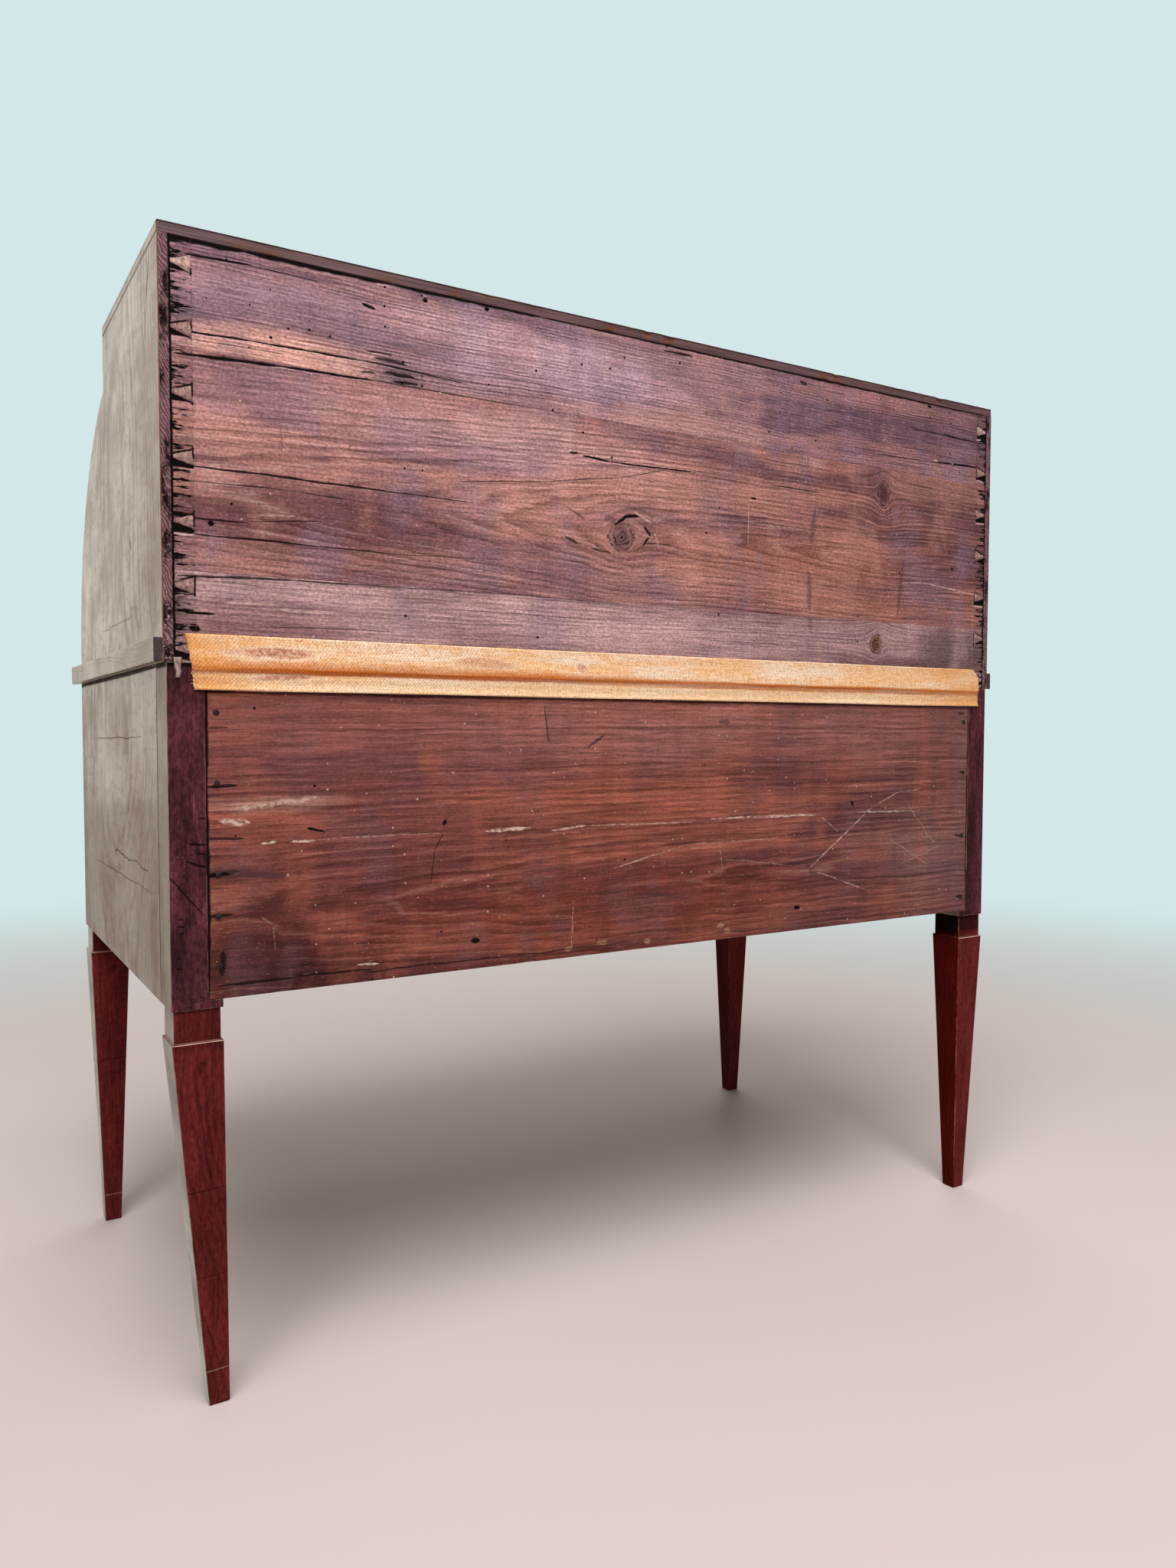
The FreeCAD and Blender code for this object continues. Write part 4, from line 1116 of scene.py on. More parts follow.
@dataclass(frozen=True)
class Linen(Finish):
    """Glued linen tape: plain weave, orange along the fold with glue stain and painted shade, and pale where
    it is rubbed.

    Places are metres along the tape from its left end, and across it from its lower edge; those of the stains
    are in mm. bleached is the paler colour below the fold; glue, the fold's own colour, is partly glue stain
    and partly painted shade.
    """

    ground: Colour = (0.96, 0.565, 0.290)
    pale: Colour = (0.98, 0.76, 0.56)
    soaked_and_fold_shade: Colour = (0.64, 0.165, 0.012)
    deep: Colour = (0.82, 0.340, 0.075)
    below_fold: Colour = (1.0, 0.70, 0.42)
    glue_and_fold_shade: Colour = (0.58, 0.120, 0.004)
    fold: float = 0.0180
    length: float = 0.964
    stains: tuple[Patch, ...] = tuple(
        Patch(middle, half, (0.50, 0.175, 0.110), amount, 0.3, 2.0, 3.0)
        for middle, half, amount in (
            ((892, 31.5), (31, 4.2), 0.95), ((889, 11.5), (26, 2.4), 0.85), ((694, 30.5), (30, 4.5), 0.6),
            ((589, 30), (6, 4.5), 0.75), ((60, 12), (24, 2.0), 0.4), ((930, 33), (9, 2.5), 0.4),
        )
    )

    def lay(self, surface: Surface) -> None:
        """Lays the cloth, its fold, its darker orange ends and its stains.

        Args:
            surface: the material in the making.
        """
        place = Wire(surface, surface.add("ShaderNodeUVMap", uv_map="tape").outputs[0])
        weave = surface.use(surface.effects.weave, Place=place, Thread=0.0017)
        slub = weave["Slub"]
        along, across = surface.split(place)[:2]
        broad = surface.cloud(place, (7.0, 45.0), 4.0, 0.6)
        surface.colour = surface.blend(broad.fade(0.42, 0.62), self.ground, self.pale)
        surface.tint(surface.cloud(place, (420.0, 420.0), 3.0, 0.7).fade(0.52, 0.68, 0.0, 0.5), self.soaked_and_fold_shade)
        surface.tint(slub.fade(0.51, 0.62, 0.0, 0.5), self.deep)
        surface.tint(slub.fade(0.48, 0.38, 0.0, 0.5), self.pale)
        self.draw_fold(surface, along, across, broad)
        right_end = (self.length - along).fade(0.002, 0.07, 0.85, 0.0)
        left_end = along.fade(0.002, 0.14, 0.8, 0.0)
        surface.tint(surface.most(right_end, left_end) * broad.fade(0.3, 0.7, 1.0, 0.5), self.deep)
        self.draw_stains(surface, place)
        specks = surface.cloud(place, (560.0, 380.0), 2.0, 0.7)
        # Painted light and shade on the weave: the raised threads lighter and the hollows between them
        # darker, with the slubs and specks.
        threads = weave["Height"].fade(0.1, 0.9, 0.88, 1.08) * slub.fade(0.38, 0.62, 1.08, 0.92)
        surface.shade(threads * specks.fade(0.34, 0.66, 0.84, 1.14))
        surface.tint(specks.fade(0.40, 0.30, 0.0, 0.45), self.soaked_and_fold_shade)
        surface.heights += [weave["Height"], slub * 1.5]
        surface.finish(0.6, 0.00035, Roughness=0.85, Specular_IOR_Level=0.2, Sheen_Weight=0.1)

    def draw_fold(self, surface: Surface, along: Wire, across: Wire, broad: Wire) -> None:
        """Stains the cloth orange above its fold, partly glue and partly painted shade, softly towards the
        right end and as two lines towards the left.

        Args:
            surface: the material in the making.
            along: place along the tape.
            across: place across it.
            broad: cloudy unevenness.
        """
        sway = surface.cloud(surface.join(along, 0.0), (9.0, 0.0), 3.0) * 0.004
        over = across - (sway + (self.fold - 0.002))
        # Paler below the fold.
        surface.tint(over.fade(-0.004, -0.0075, 0.0, 0.5), self.below_fold)
        reach = along.fade(0.35, 0.80, 0.0030, 0.0120)
        band = over.fade(-0.0016, 0.0) * over.fall(0.0008, reach) * broad.fade(0.30, 0.70, 1.0, 0.75)
        second = over.between(-0.0052, -0.0036, 0.0008) * along.fade(0.65, 0.45, 0.0, 0.7)
        # Orange band above the fold: partly glue stain, partly painted shade.
        surface.tint(surface.most(band, second), self.soaked_and_fold_shade)
        # Dark orange line along the fold itself: partly glue stain, partly painted shade.
        surface.tint(over.between(-0.0034, 0.0014, 0.0010) * along.fade(0.45, 0.75, 0.45, 0.85), self.glue_and_fold_shade)

    def draw_stains(self, surface: Surface, place: Wire) -> None:
        """Draws damp stains, each with a paler rim.

        Args:
            surface: the material in the making.
            place: place on the cloth.
        """
        drift = surface.drift(place, 30.0)
        mottled = surface.cloud(place, (300.0, 300.0), 3.0, 0.7).fade(0.35, 0.6, 0.4, 1.0)
        for stain in self.stains:
            rim = replace(stain, half=(stain.half[0] * 1.35, stain.half[1] * 1.35))
            surface.tint(rim.mask(surface, place, drift) * (0.5 * stain.amount), self.pale)
            surface.tint(stain.mask(surface, place, drift) * stain.amount * mottled, stain.colour)


@dataclass(frozen=True)
class Metal(Finish):
    """Brass or iron, dulled unevenly by handling."""

    ground: Colour
    dull: Colour
    metallic: float
    roughness: float

    def lay(self, surface: Surface) -> None:
        """Lays the metal, bright where its edges are rubbed.

        Args:
            surface: the material in the making.
        """
        blotch = surface.cloud(surface.spot, 160.0, 4.0, 0.65)
        pits = surface.cloud(surface.spot, 900.0, 3.0)
        tarnish = blotch.fade(0.40, 0.66) * (1.0 - surface.wear(0.7))
        rough = blotch.fade(0.3, 0.7, self.roughness - 0.07, self.roughness + 0.15)
        surface.colour = surface.blend(tarnish, self.ground, self.dull)
        surface.heights += [pits, blotch]
        surface.finish(0.35, 0.0002, Roughness=rough, Metallic=self.metallic)


@dataclass(frozen=True)
class Hide(Finish):
    """Writing leather with a fine grain and a plain gilt line round it."""

    low: Spot
    high: Spot
    ground: Colour = (0.028, 0.050, 0.034)
    rubbed: Colour = (0.075, 0.095, 0.060)
    gilt: Colour = (0.50, 0.34, 0.12)

    def lay(self, surface: Surface) -> None:
        """Lays the leather and its two lines, one wide and one thin.

        Args:
            surface: the material in the making.
        """
        grain = surface.add("ShaderNodeTexVoronoi", voronoi_dimensions="2D", feature="DISTANCE_TO_EDGE")
        pebbles = surface.feed(grain, Vector=surface.spot, Scale=620.0)["Distance"].fade(0.0, 0.25)
        worn = surface.cloud(surface.spot, 9.0, 4.0, 0.6)
        x, y = surface.split(surface.spot)[:2]
        sides = (x - self.low[0], self.high[0] - x, y - self.low[1], self.high[1] - y)
        edge = surface.chain("MINIMUM", *sides)
        line = surface.most(edge.between(0.012, 0.014, 0.0002), edge.between(0.0165, 0.0172, 0.0002))
        line = line * worn.fade(0.35, 0.5, 0.95, 0.5)
        surface.colour = surface.blend(worn.fade(0.45, 0.7), self.ground, self.rubbed)
        surface.tint(line, self.gilt)
        surface.heights.append(pebbles)
        surface.finish(0.4, 0.0003, Roughness=worn.fade(0.35, 0.65, 0.48, 0.36), Metallic=line * 0.7)


# Finishes of the back
TOP_PLANK = StainedBoard(
    name="top plank", ground=(0.205, 0.112, 0.146), warm=(0.48, 0.255, 0.245), late=(0.22, 0.17, 0.20),
    shade=(0.72, 0.66, 0.69), pith=(560, 160), spacing=2.9, wander=26, seed=3.1, ring_weight=0.55,
    worm_share=0.16,
    marks=marks(
        Tone.CRACK_AND_SHADOW,
        # The first four lines are a painted shadow in the gap under the top board, widest towards the
        # sitter's right end.
        (490, 982.6, 430, 983.0, 5.0, 1.0, 0.6), (430, 983.0, 300, 983.4, 4.0, 1.0, 0.6),
        (300, 983.4, 150, 983.8, 3.0, 1.0, 0.6), (150, 983.8, -482, 984.0, 2.2, 1.0, 0.6),
        (478, 971, 423, 973, 1.4), (423, 973, 362, 971, 0.8, 0.8), (484, 910, 424, 911, 1.3),
        (424, 911, 328, 912, 1.2), (328, 912, 232, 909, 1.2, 0.9), (326, 922, 302, 921, 1.6, 0.9, 3.0),
        (318, 916, 288, 915, 2.0, 0.9, 3.0), (308, 905, 280, 906, 2.4, 0.9, 3.5),
        (300, 899, 276, 900, 1.8, 0.9, 3.0), (330, 902, 318, 903, 1.6, 0.8, 3.0),
        (478, 904, 395, 905, 0.9, 0.6), (328, 961, 316, 959, 2.2), (271, 976, 267, 976, 2.6),
        (209, 980, 205, 980, 2.8), (6, 977, -30, 979, 2.2, 0.9, 3.0), (-359, 950, -404, 951, 0.9),
        (-404, 951, -482, 949, 1.3), (-300, 913, -389, 916, 1.0, 0.8), (-389, 916, -480, 919, 1.6),
        (-180, 977, -190, 976, 2.4, 0.8, 3.0), (-383, 981, -389, 980, 2.0),
    ) + marks(Tone.SCRATCH, (-395, 918, -402, 918, 1.8), (-424, 919, -430, 918, 1.6)),
    patches=(
        Patch((398, 908), (88, 15), (0.82, 0.430, 0.340), 0.9, 0.2, 5.0, 5.0),
        Patch((400, 946), (85, 20), (0.275, 0.165, 0.220), 0.85, 0.6),
        Patch((285, 925), (75, 34), (0.30, 0.19, 0.23), 0.5, 0.6, 2.0, 9.0, 0.45),
        Patch((296, 905), (28, 11), (0.12, 0.07, 0.085), 0.8, 0.6, 2.0, 9.0, 0.5),
        Patch((190, 915), (70, 14), (0.30, 0.18, 0.21), 0.5, 0.6, 2.0, 9.0, 0.4),
        Patch((235, 962), (60, 13), (0.56, 0.335, 0.345), 0.8, 0.5, 3.0, 7.0),
        # Painted sheen: a pale lilac reflection across the top middle of the plank.
        Patch((120, 940), (120, 28), (0.64, 0.430, 0.50), 0.75, 0.6, 2.0, 14.0),
        Patch((-60, 962), (150, 16), (0.28, 0.170, 0.205), 0.5, 0.7, 2.0, 14.0),
    ),
)
MIDDLE_PLANK = StainedBoard(
    name="middle plank", ground=(0.250, 0.118, 0.128), warm=(0.55, 0.262, 0.220), late=(0.24, 0.17, 0.18),
    shade=(0.70, 0.62, 0.60), pith=(792, 27), tilt=0.07, spacing=4.6, wander=16, seed=11.7,
    ring_weight=0.62, worm_share=0.035,
    knots=(
        Knot((57, 784), 8.6, 1.1, (0.21, 0.115, 0.112), (0.075, 0.036, 0.040)),
        Knot((-312, 868), 9.0, 0.62, (0.13, 0.058, 0.066), (0.05, 0.022, 0.027)),
    ),
    marks=marks(
        Tone.CRACK_AND_SHADOW,
        (486, 891, 400, 894.5, 2.2, 1.0, 0.6), (404, 894.5, 318, 896.5, 1.6, 1.0, 0.6),
        (318, 896.5, 150, 896.8, 1.2, 0.8, 0.8), (64, 796, 52, 803, 2.2, 1.0, 2.0),
        (54, 804, 36, 806, 2.4, 1.0, 2.5), (30, 796, 22, 788, 2.2, 0.9, 2.5),
        (24, 786, 30, 777, 1.8, 0.9, 2.5), (28, 780, -4, 781, 1.3, 0.7, 2.0),
        (122, 778, 108, 773, 2.4, 0.8, 2.0), (92, 769, 70, 767, 1.6, 0.7, 2.0),
        (479, 803, 295, 801, 1.4, 0.95), (300, 801, 221, 800, 0.9, 0.8), (478, 791, 392, 792, 0.8, 0.8),
        (392, 792, 345, 790, 0.7, 0.7), (478, 761, 430, 761, 1.1, 0.9), (430, 762, 366, 769, 0.9, 0.8),
        (461, 758, 457, 758, 4.2), (479, 748, 368, 747, 1.2, 0.9), (372, 747, 296, 746, 1.0, 0.8),
        (300, 746, 221, 748, 0.8, 0.6), (102, 859, 71, 857, 1.9), (73, 857, -36, 859, 1.2),
        (117, 860, 108, 861, 2.2, 0.9), (235, 818, 142, 829, 1.0, 0.75), (142, 829, 60, 842, 1.0, 0.7),
        (60, 842, 0, 858, 0.9, 0.7), (-138, 858, -211, 858, 1.1, 0.9), (-110, 841, -118, 841, 1.7),
        (-428, 790, -432, 789, 3.2, 0.9),
    ) + marks(
        Tone.SMUDGE,
        (100, 797, 120, 806, 2.0, 0.6, 3.0), (401, 846, 400, 822, 0.8, 0.5),
        (-203, 839, -198, 800, 5.5, 0.55, 2.5), (-196, 768, -196, 726, 6.5, 0.5, 2.5),
        (-345, 793, -336, 726, 3.6, 0.5, 2.5), (330, 790, 300, 786, 5.0, 0.4, 4.0),
    ) + marks(
        Tone.SCRATCH,
        (42, 810, 20, 800, 1.6, 0.7, 3.0), (18, 792, 10, 776, 1.6, 0.7, 3.0),
        (430, 768, 390, 771, 1.2, 0.7), (240, 814, 102, 827, 0.9, 0.8), (235, 855, 186, 860, 1.3, 0.45),
        (186, 860, 144, 858, 1.3, 0.4), (-109, 814, -204, 814, 0.8, 0.6), (-204, 814, -318, 819, 0.8, 0.5),
        (-344, 766, -379, 769, 0.9, 0.8), (-379, 769, -476, 761, 1.1, 0.9),
        (-107, 837, -107, 790, 0.8, 0.8),
    ),
    patches=(
        Patch((390, 870), (110, 30), (0.40, 0.215, 0.240), 0.6, 0.6, 2.5, 12.0),
        Patch((190, 862), (150, 26), (0.60, 0.355, 0.370), 0.7, 0.7, 2.0, 14.0),
        Patch((365, 863), (10, 6), (0.52, 0.32, 0.29), 0.5, 0.3, 6.0, 2.0),
        Patch((118, 880), (5, 28), (0.60, 0.40, 0.38), 0.35, 0.6, 4.0, 3.0),
        Patch((-205, 889), (13, 5), (0.50, 0.32, 0.31), 0.55, 0.6, 2.0, 3.0),
        Patch((380, 765), (120, 38), (0.160, 0.058, 0.060), 0.95, 0.6, 2.0, 9.0),
        Patch((150, 790), (90, 18), (0.40, 0.180, 0.145), 0.5, 0.7, 2.0, 10.0),
        Patch((-160, 778), (200, 22), (0.38, 0.145, 0.100), 0.7, 0.7, 2.0, 12.0),
        Patch((-250, 738), (180, 13), (0.45, 0.180, 0.130), 0.6, 0.6, 3.0, 5.0),
        Patch((-395, 884), (86, 14), (0.38, 0.180, 0.150), 0.7, 0.25, 5.0, 3.0),
    ),
)
BOTTOM_PLANK = StainedBoard(
    name="bottom plank", ground=(0.230, 0.117, 0.125), warm=(0.52, 0.320, 0.315), late=(0.24, 0.20, 0.21),
    shade=(0.80, 0.77, 0.77), pith=(430, 260), spacing=2.9, wander=16, seed=23.9, ring_weight=0.55,
    worm_share=0.03, knots=(Knot((-302, 692), 7.5, 0.8, (0.34, 0.15, 0.07), (0.045, 0.020, 0.020)),),
    marks=marks(
        Tone.CRACK_AND_SHADOW,
        (486, 713.5, 390, 716.2, 1.6, 0.9, 0.6), (394, 716.2, 296, 717.0, 1.2, 0.8, 0.6),
        (296, 717.0, 60, 717.2, 0.9, 0.6, 0.6), (480, 684, 457, 684, 1.6),
        (477, 672, 469, 670, 4.6, 1.0, 2.0), (420, 676, 300, 677, 0.8, 0.5), (250, 700, 60, 699, 0.8, 0.45),
        (-40, 686, -240, 684, 0.8, 0.45),
    ) + marks(
        Tone.SCRATCH,
        (448, 694, 405, 695, 1.6, 0.6, 2.0), (404, 691, 358, 691, 1.8, 0.6, 2.0),
        (-180, 704, -240, 702, 1.4, 0.4, 2.0),
    ) + marks(Tone.SMUDGE, (-196, 726, -198, 700, 4.0, 0.4, 2.5)),
    patches=(
        Patch((410, 668), (70, 30), (0.235, 0.105, 0.105), 0.7, 0.6, 2.0, 9.0),
        Patch((60, 692), (230, 24), (0.64, 0.395, 0.380), 0.65, 0.6, 2.5, 9.0),
        Patch((-220, 696), (150, 18), (0.44, 0.275, 0.275), 0.6, 0.6, 2.5, 9.0),
        Patch((-430, 690), (60, 26), (0.15, 0.090, 0.096), 0.9, 0.5, 2.5, 6.0),
    ),
)
LOWER_BOARD = StainedBoard(
    name="lower board", ground=(0.164, 0.047, 0.042), warm=(0.360, 0.108, 0.070), late=(0.36, 0.25, 0.25),
    shade=(0.86, 1.00, 1.16), pith=(428, 26), tilt=0.06, spacing=6.4, wander=30, seed=31.3, ring_weight=0.6,
    fibre_weight=0.40, painted_sheen=(0.175, 0.080, 0.092), worm_share=0.012, speck_share=0.09, tails=False,
    pale=(0.50, 0.26, 0.18), speck_light=0.15, streak=0.17, roughness=0.46, specular=0.12,
    marks=marks(
        Tone.CRACK_AND_SHADOW,
        (465.6, 366, 465.6, 641, 2.9, 1.0, 0.9), (-465.8, 366, -465.8, 641, 1.8, 1.0, 0.5),
        # The line at 620 mm across the board is a painted shadow under the tape's lower edge.
        (464, 620, -464, 620, 2.0, 0.7, 1.5), (252, 504, 250, 503, 4.6, 1.0, 0.8),
        (224, 390, 216, 389, 3.6, 1.0, 0.8), (-179, 389, -187, 388, 3.4, 1.0, 0.8),
        (-266, 508, -268, 502, 2.6, 1.0, 0.8), (381, 503, 365, 499, 1.6), (253, 494, 262, 477, 0.9, 0.7),
        (262, 477, 265, 446, 0.8, 0.6), (466, 620, 441, 621, 2.2, 0.9), (466, 590, 448, 590, 1.4, 0.7),
        (466, 541, 440, 542, 2.2, 0.9), (466, 498, 436, 497, 2.0, 0.8), (466, 467, 440, 469, 3.0),
        (466, 433, 446, 433, 2.0, 0.8), (456, 400, 456, 381, 4.0, 0.8, 4.0),
        (-447, 611, -458, 611, 2.6, 0.7), (-448, 538, -462, 538, 2.2, 0.6),
        (-444, 460, -458, 456, 2.6, 0.8), (-448, 381, -460, 381, 2.6, 0.8),
        (458, 373, 392, 374, 1.9, 0.85, 3.0), (392, 375, 322, 373, 1.6, 0.8, 3.0),
        (330, 371, 190, 371, 1.4, 0.7, 3.0), (190, 372, 40, 370, 1.2, 0.55, 3.0),
        (40, 370, -150, 369, 1.0, 0.45, 3.0), (-170, 369, -420, 370, 1.0, 0.45, 3.0),
    ) + marks(
        Tone.SMUDGE,
        (33, 420, -30, 411, 1.6, 0.7), (-70, 599, -84, 598, 5.0, 0.6), (450, 470, 402, 463, 4.5, 0.8),
        (-198, 437, -212, 424, 6.0, 0.6, 3.0),
    ) + marks(Tone.INK, (145, 613, 140, 577, 1.2, 0.9), (96, 572, 77, 584, 1.8, 0.8)) + marks(
        Tone.SCRATCH,
        (455, 513, 430, 510, 4.2, 0.95, 3.0), (446, 522, 372, 529, 3.6, 0.6, 3.0),
        (421, 492, 408, 493, 1.9), (396, 492, 374, 492, 1.9), (372, 493, 250, 494, 0.9, 0.35),
        (209, 493, 160, 494, 2.4), (137, 491, 98, 494, 2.0, 0.9), (98, 494, -37, 492, 1.1, 0.55),
        (-60, 495, -210, 494, 1.8, 0.9), (-277, 494, -380, 492, 1.5, 0.7),
        (-198, 430, -297, 498, 1.2, 0.75), (-296, 497, -346, 517, 1.1, 0.6),
        (-346, 517, -380, 518, 1.0, 0.5), (-203, 431, -297, 400, 1.1, 0.5),
        (-220, 491, -246, 473, 1.1, 0.6), (66, 448, -28, 469, 1.1, 0.55), (-26, 469, -153, 469, 0.9, 0.4),
        (-72, 451, -175, 437, 0.9, 0.35), (-72, 470, -76, 440, 0.9, 0.35),
        (421, 430, 411, 422, 1.0, 0.45, 3.0), (410, 420, 411, 401, 0.9, 0.3, 4.0),
        (337, 379, 316, 378, 1.6, 1.0, 1.0), (113, 420, 113, 372, 1.0, 0.45, 4.0),
        (-330, 462, -395, 424, 1.0, 0.4, 6.0), (-362, 500, -404, 452, 1.0, 0.4, 6.0),
        (-352, 428, -420, 448, 0.9, 0.35, 6.0),
    ),
    patches=(
        Patch((330, 580), (150, 50), (0.220, 0.085, 0.088), 0.65, 0.6, 2.0, 20.0),
        Patch((30, 590), (200, 40), (0.400, 0.165, 0.145), 0.7, 0.6, 2.0, 20.0),
        Patch((-300, 590), (140, 40), (0.300, 0.130, 0.118), 0.6, 0.6, 2.0, 20.0),
        Patch((250, 500), (150, 26), (0.255, 0.084, 0.062), 0.4, 0.7, 2.0, 16.0),
        Patch((408, 525), (50, 6), (0.42, 0.235, 0.195), 0.75, 0.5, 2.5, 5.0),
        Patch((270, 562), (7, 10), (0.36, 0.13, 0.05), 0.4, 0.5, 4.0, 3.0),
        Patch((418, 392), (80, 36), (0.045, 0.011, 0.014), 0.95, 0.6, 2.0, 14.0),
        Patch((-420, 470), (85, 150), (0.150, 0.062, 0.060), 0.6, 0.5, 2.5, 22.0),
        Patch((-454, 500), (14, 150), (0.20, 0.120, 0.120), 0.45, 0.6, 4.0, 9.0),
        Patch((-330, 450), (60, 40), (0.19, 0.092, 0.088), 0.35, 0.7, 2.0, 16.0),
        Patch((450, 469), (26, 7), (0.020, 0.010, 0.012), 0.75, 0.7, 2.0, 3.0),
        Patch((60, 408), (240, 34), (0.215, 0.046, 0.024), 0.6, 0.6, 2.0, 18.0),
        Patch((390, 412), (110, 34), (0.105, 0.025, 0.024), 0.5, 0.7, 2.0, 16.0),
        Patch((385, 374), (125, 20), (0.045, 0.011, 0.014), 0.8, 0.7, 2.5, 8.0),
        Patch((140, 366), (160, 6), (0.080, 0.020, 0.018), 0.6, 0.7, 2.5, 5.0),
        Patch((-400, 440), (60, 50), (0.30, 0.20, 0.20), 0.30, 0.8, 2.0, 20.0),
        *(
            Patch(chip, (5, 2.5), (0.60, 0.34, 0.20), 0.7, 0.4, 2.0, 9.0)
            for chip in ((116, 371), (77, 374), (24, 368), (-73, 375), (-84, 369))
        ),
    ),
)
LINEN = Linen("linen tape")

# Finishes of the upper case
VENEER = PolishedWood(
    name="upright veneer", ground=(0.205, 0.080, 0.042), dark=(0.105, 0.036, 0.019), grain=Grain.SIDE,
    spacing=3.4, pith=(40, 60), wander=70, seed=41.0, ring_weight=0.4, roughness=0.26, specular=0.30,
    sheen=0.66, wave=0.30, grit=0.06, figure=0.4, streak=0.5, wear=(0.42, 0.26, 0.20), wear_amount=0.6,
    marks=marks(
        Tone.CRACK_AND_SHADOW,
        (972, 228, 940, 214, 1.8, 1.0, 3.0), (940, 214, 915, 205, 1.3, 0.9, 2.0),
        (915, 205, 893, 208, 0.9, 0.7, 2.0), (905, 70, 868, 60, 1.2, 0.6, 3.0),
        (868, 60, 850, 52, 1.0, 0.5, 3.0), (862, 130, 838, 128, 2.4, 0.6, 5.0),
        (691, -50, 691, 128, 0.9, 0.45, 2.5),
    ) + marks(Tone.SMUDGE, (760, 120, 752, 126, 7.0, 0.5, 5.0)) + marks(
        Tone.SCRATCH, (792, 232, 742, 236, 1.0, 0.6, 2.0), (860, 20, 800, -40, 0.9, 0.5, 3.0),
    ),
)
UPPER_SIDE = VeneeredSide("upper side", VENEER)
TORN_EDGE = VeneeredSide("torn side edge", replace(VENEER, specular=0.06))
TORN_WOOD = PolishedWood(
    name="torn splinter wood", ground=(0.58, 0.43, 0.36), dark=(0.20, 0.11, 0.10), grain=Grain.UPRIGHT,
    spacing=1.2, seed=103.0, ring_weight=0.5, fibre_weight=0.5, speckle=0.5, blotch=0.5, roughness=0.8,
    specular=0.1, sheen=0.0,
)
MOULDING = PolishedWood(
    name="side moulding", ground=(0.170, 0.066, 0.036), dark=(0.080, 0.028, 0.016), grain=Grain.DEPTH,
    seed=61.0, roughness=0.27, sheen=0.45, wave=0.2, end=(0.046, 0.026, 0.033), wear=(0.28, 0.15, 0.10),
)
TOP_BOARD = PolishedWood(
    name="top board", ground=(0.200, 0.078, 0.042), dark=(0.100, 0.034, 0.018), grain=Grain.TOP,
    spacing=4.0, pith=(120, 70), wander=70, seed=67.0, roughness=0.26, sheen=0.45, wave=0.2,
    end=(0.120, 0.058, 0.062), end_scale=(11.0, 0.0, 420.0), wear=(0.16, 0.095, 0.100), wear_amount=0.4,
)
TOP_EDGE = replace(TOP_BOARD, name="top board edge", specular=0.06)
FRONT_VENEER = PolishedWood(
    name="front veneer", ground=(0.245, 0.074, 0.030), dark=(0.085, 0.022, 0.010), grain=Grain.BACK,
    spacing=3.0, pith=(560, 70), wander=75, seed=47.0, ring_weight=0.60, roughness=0.30, wave=0.16,
    wear=(0.32, 0.16, 0.09), wear_amount=0.4,
)
CYLINDER_VENEER = replace(FRONT_VENEER, name="cylinder veneer", pith=(640, 60), seed=97.0, wander=95.0)

# Finishes of the lower case
LEG_WOOD = PolishedWood(
    name="leg mahogany", ground=(0.128, 0.0120, 0.0085), dark=(0.046, 0.0034, 0.0028), grain=Grain.UPRIGHT,
    spacing=2.2, pith=(620, 160), wander=26, seed=53.0, ring_weight=0.5, fibre_weight=0.40, roughness=0.28,
    sheen=0.85, wave=0.10, speckle=0.25, blotch=0.16, wear=(0.30, 0.12, 0.09), wear_amount=0.6,
)
# The rear faces have no coat; their paler, greyer ground is partly the wood and partly a painted sheen.
REAR_LEG_FACE = replace(
    LEG_WOOD, name="unpolished leg mahogany", ground=(0.160, 0.0225, 0.0215), dark=(0.058, 0.0065, 0.0072),
    specular=0.03, sheen=0.0, roughness=0.5,
    marks=marks(
        Tone.CRACK_AND_SHADOW,
        (199, 440, 197, 500, 0.8, 0.55, 0.7), (121, 440, 119, 500, 0.7, 0.4, 0.7),
        # The wide bands at 338 and 346 mm are painted shade at the necks of the legs.
        (311, 471, 302, 473, 4.0, 0.5, 2.0), (338, 440, 338, 500, 24.0, 0.4, 1.0),
        (346, -440, 346, -500, 18.0, 0.75, 1.0),
    ) + marks(
        Tone.SCRATCH,
        # The pale lines at 328.2 mm along the leg shoulders are partly wear and partly a painted highlight.
        (33, 440, 31, 500, 0.8, 0.25, 0.7), (328.2, 440, 328.2, 500, 1.0, 0.85, 0.4),
        (328.2, -440, 328.2, -500, 1.0, 0.85, 0.4),
    ),
)
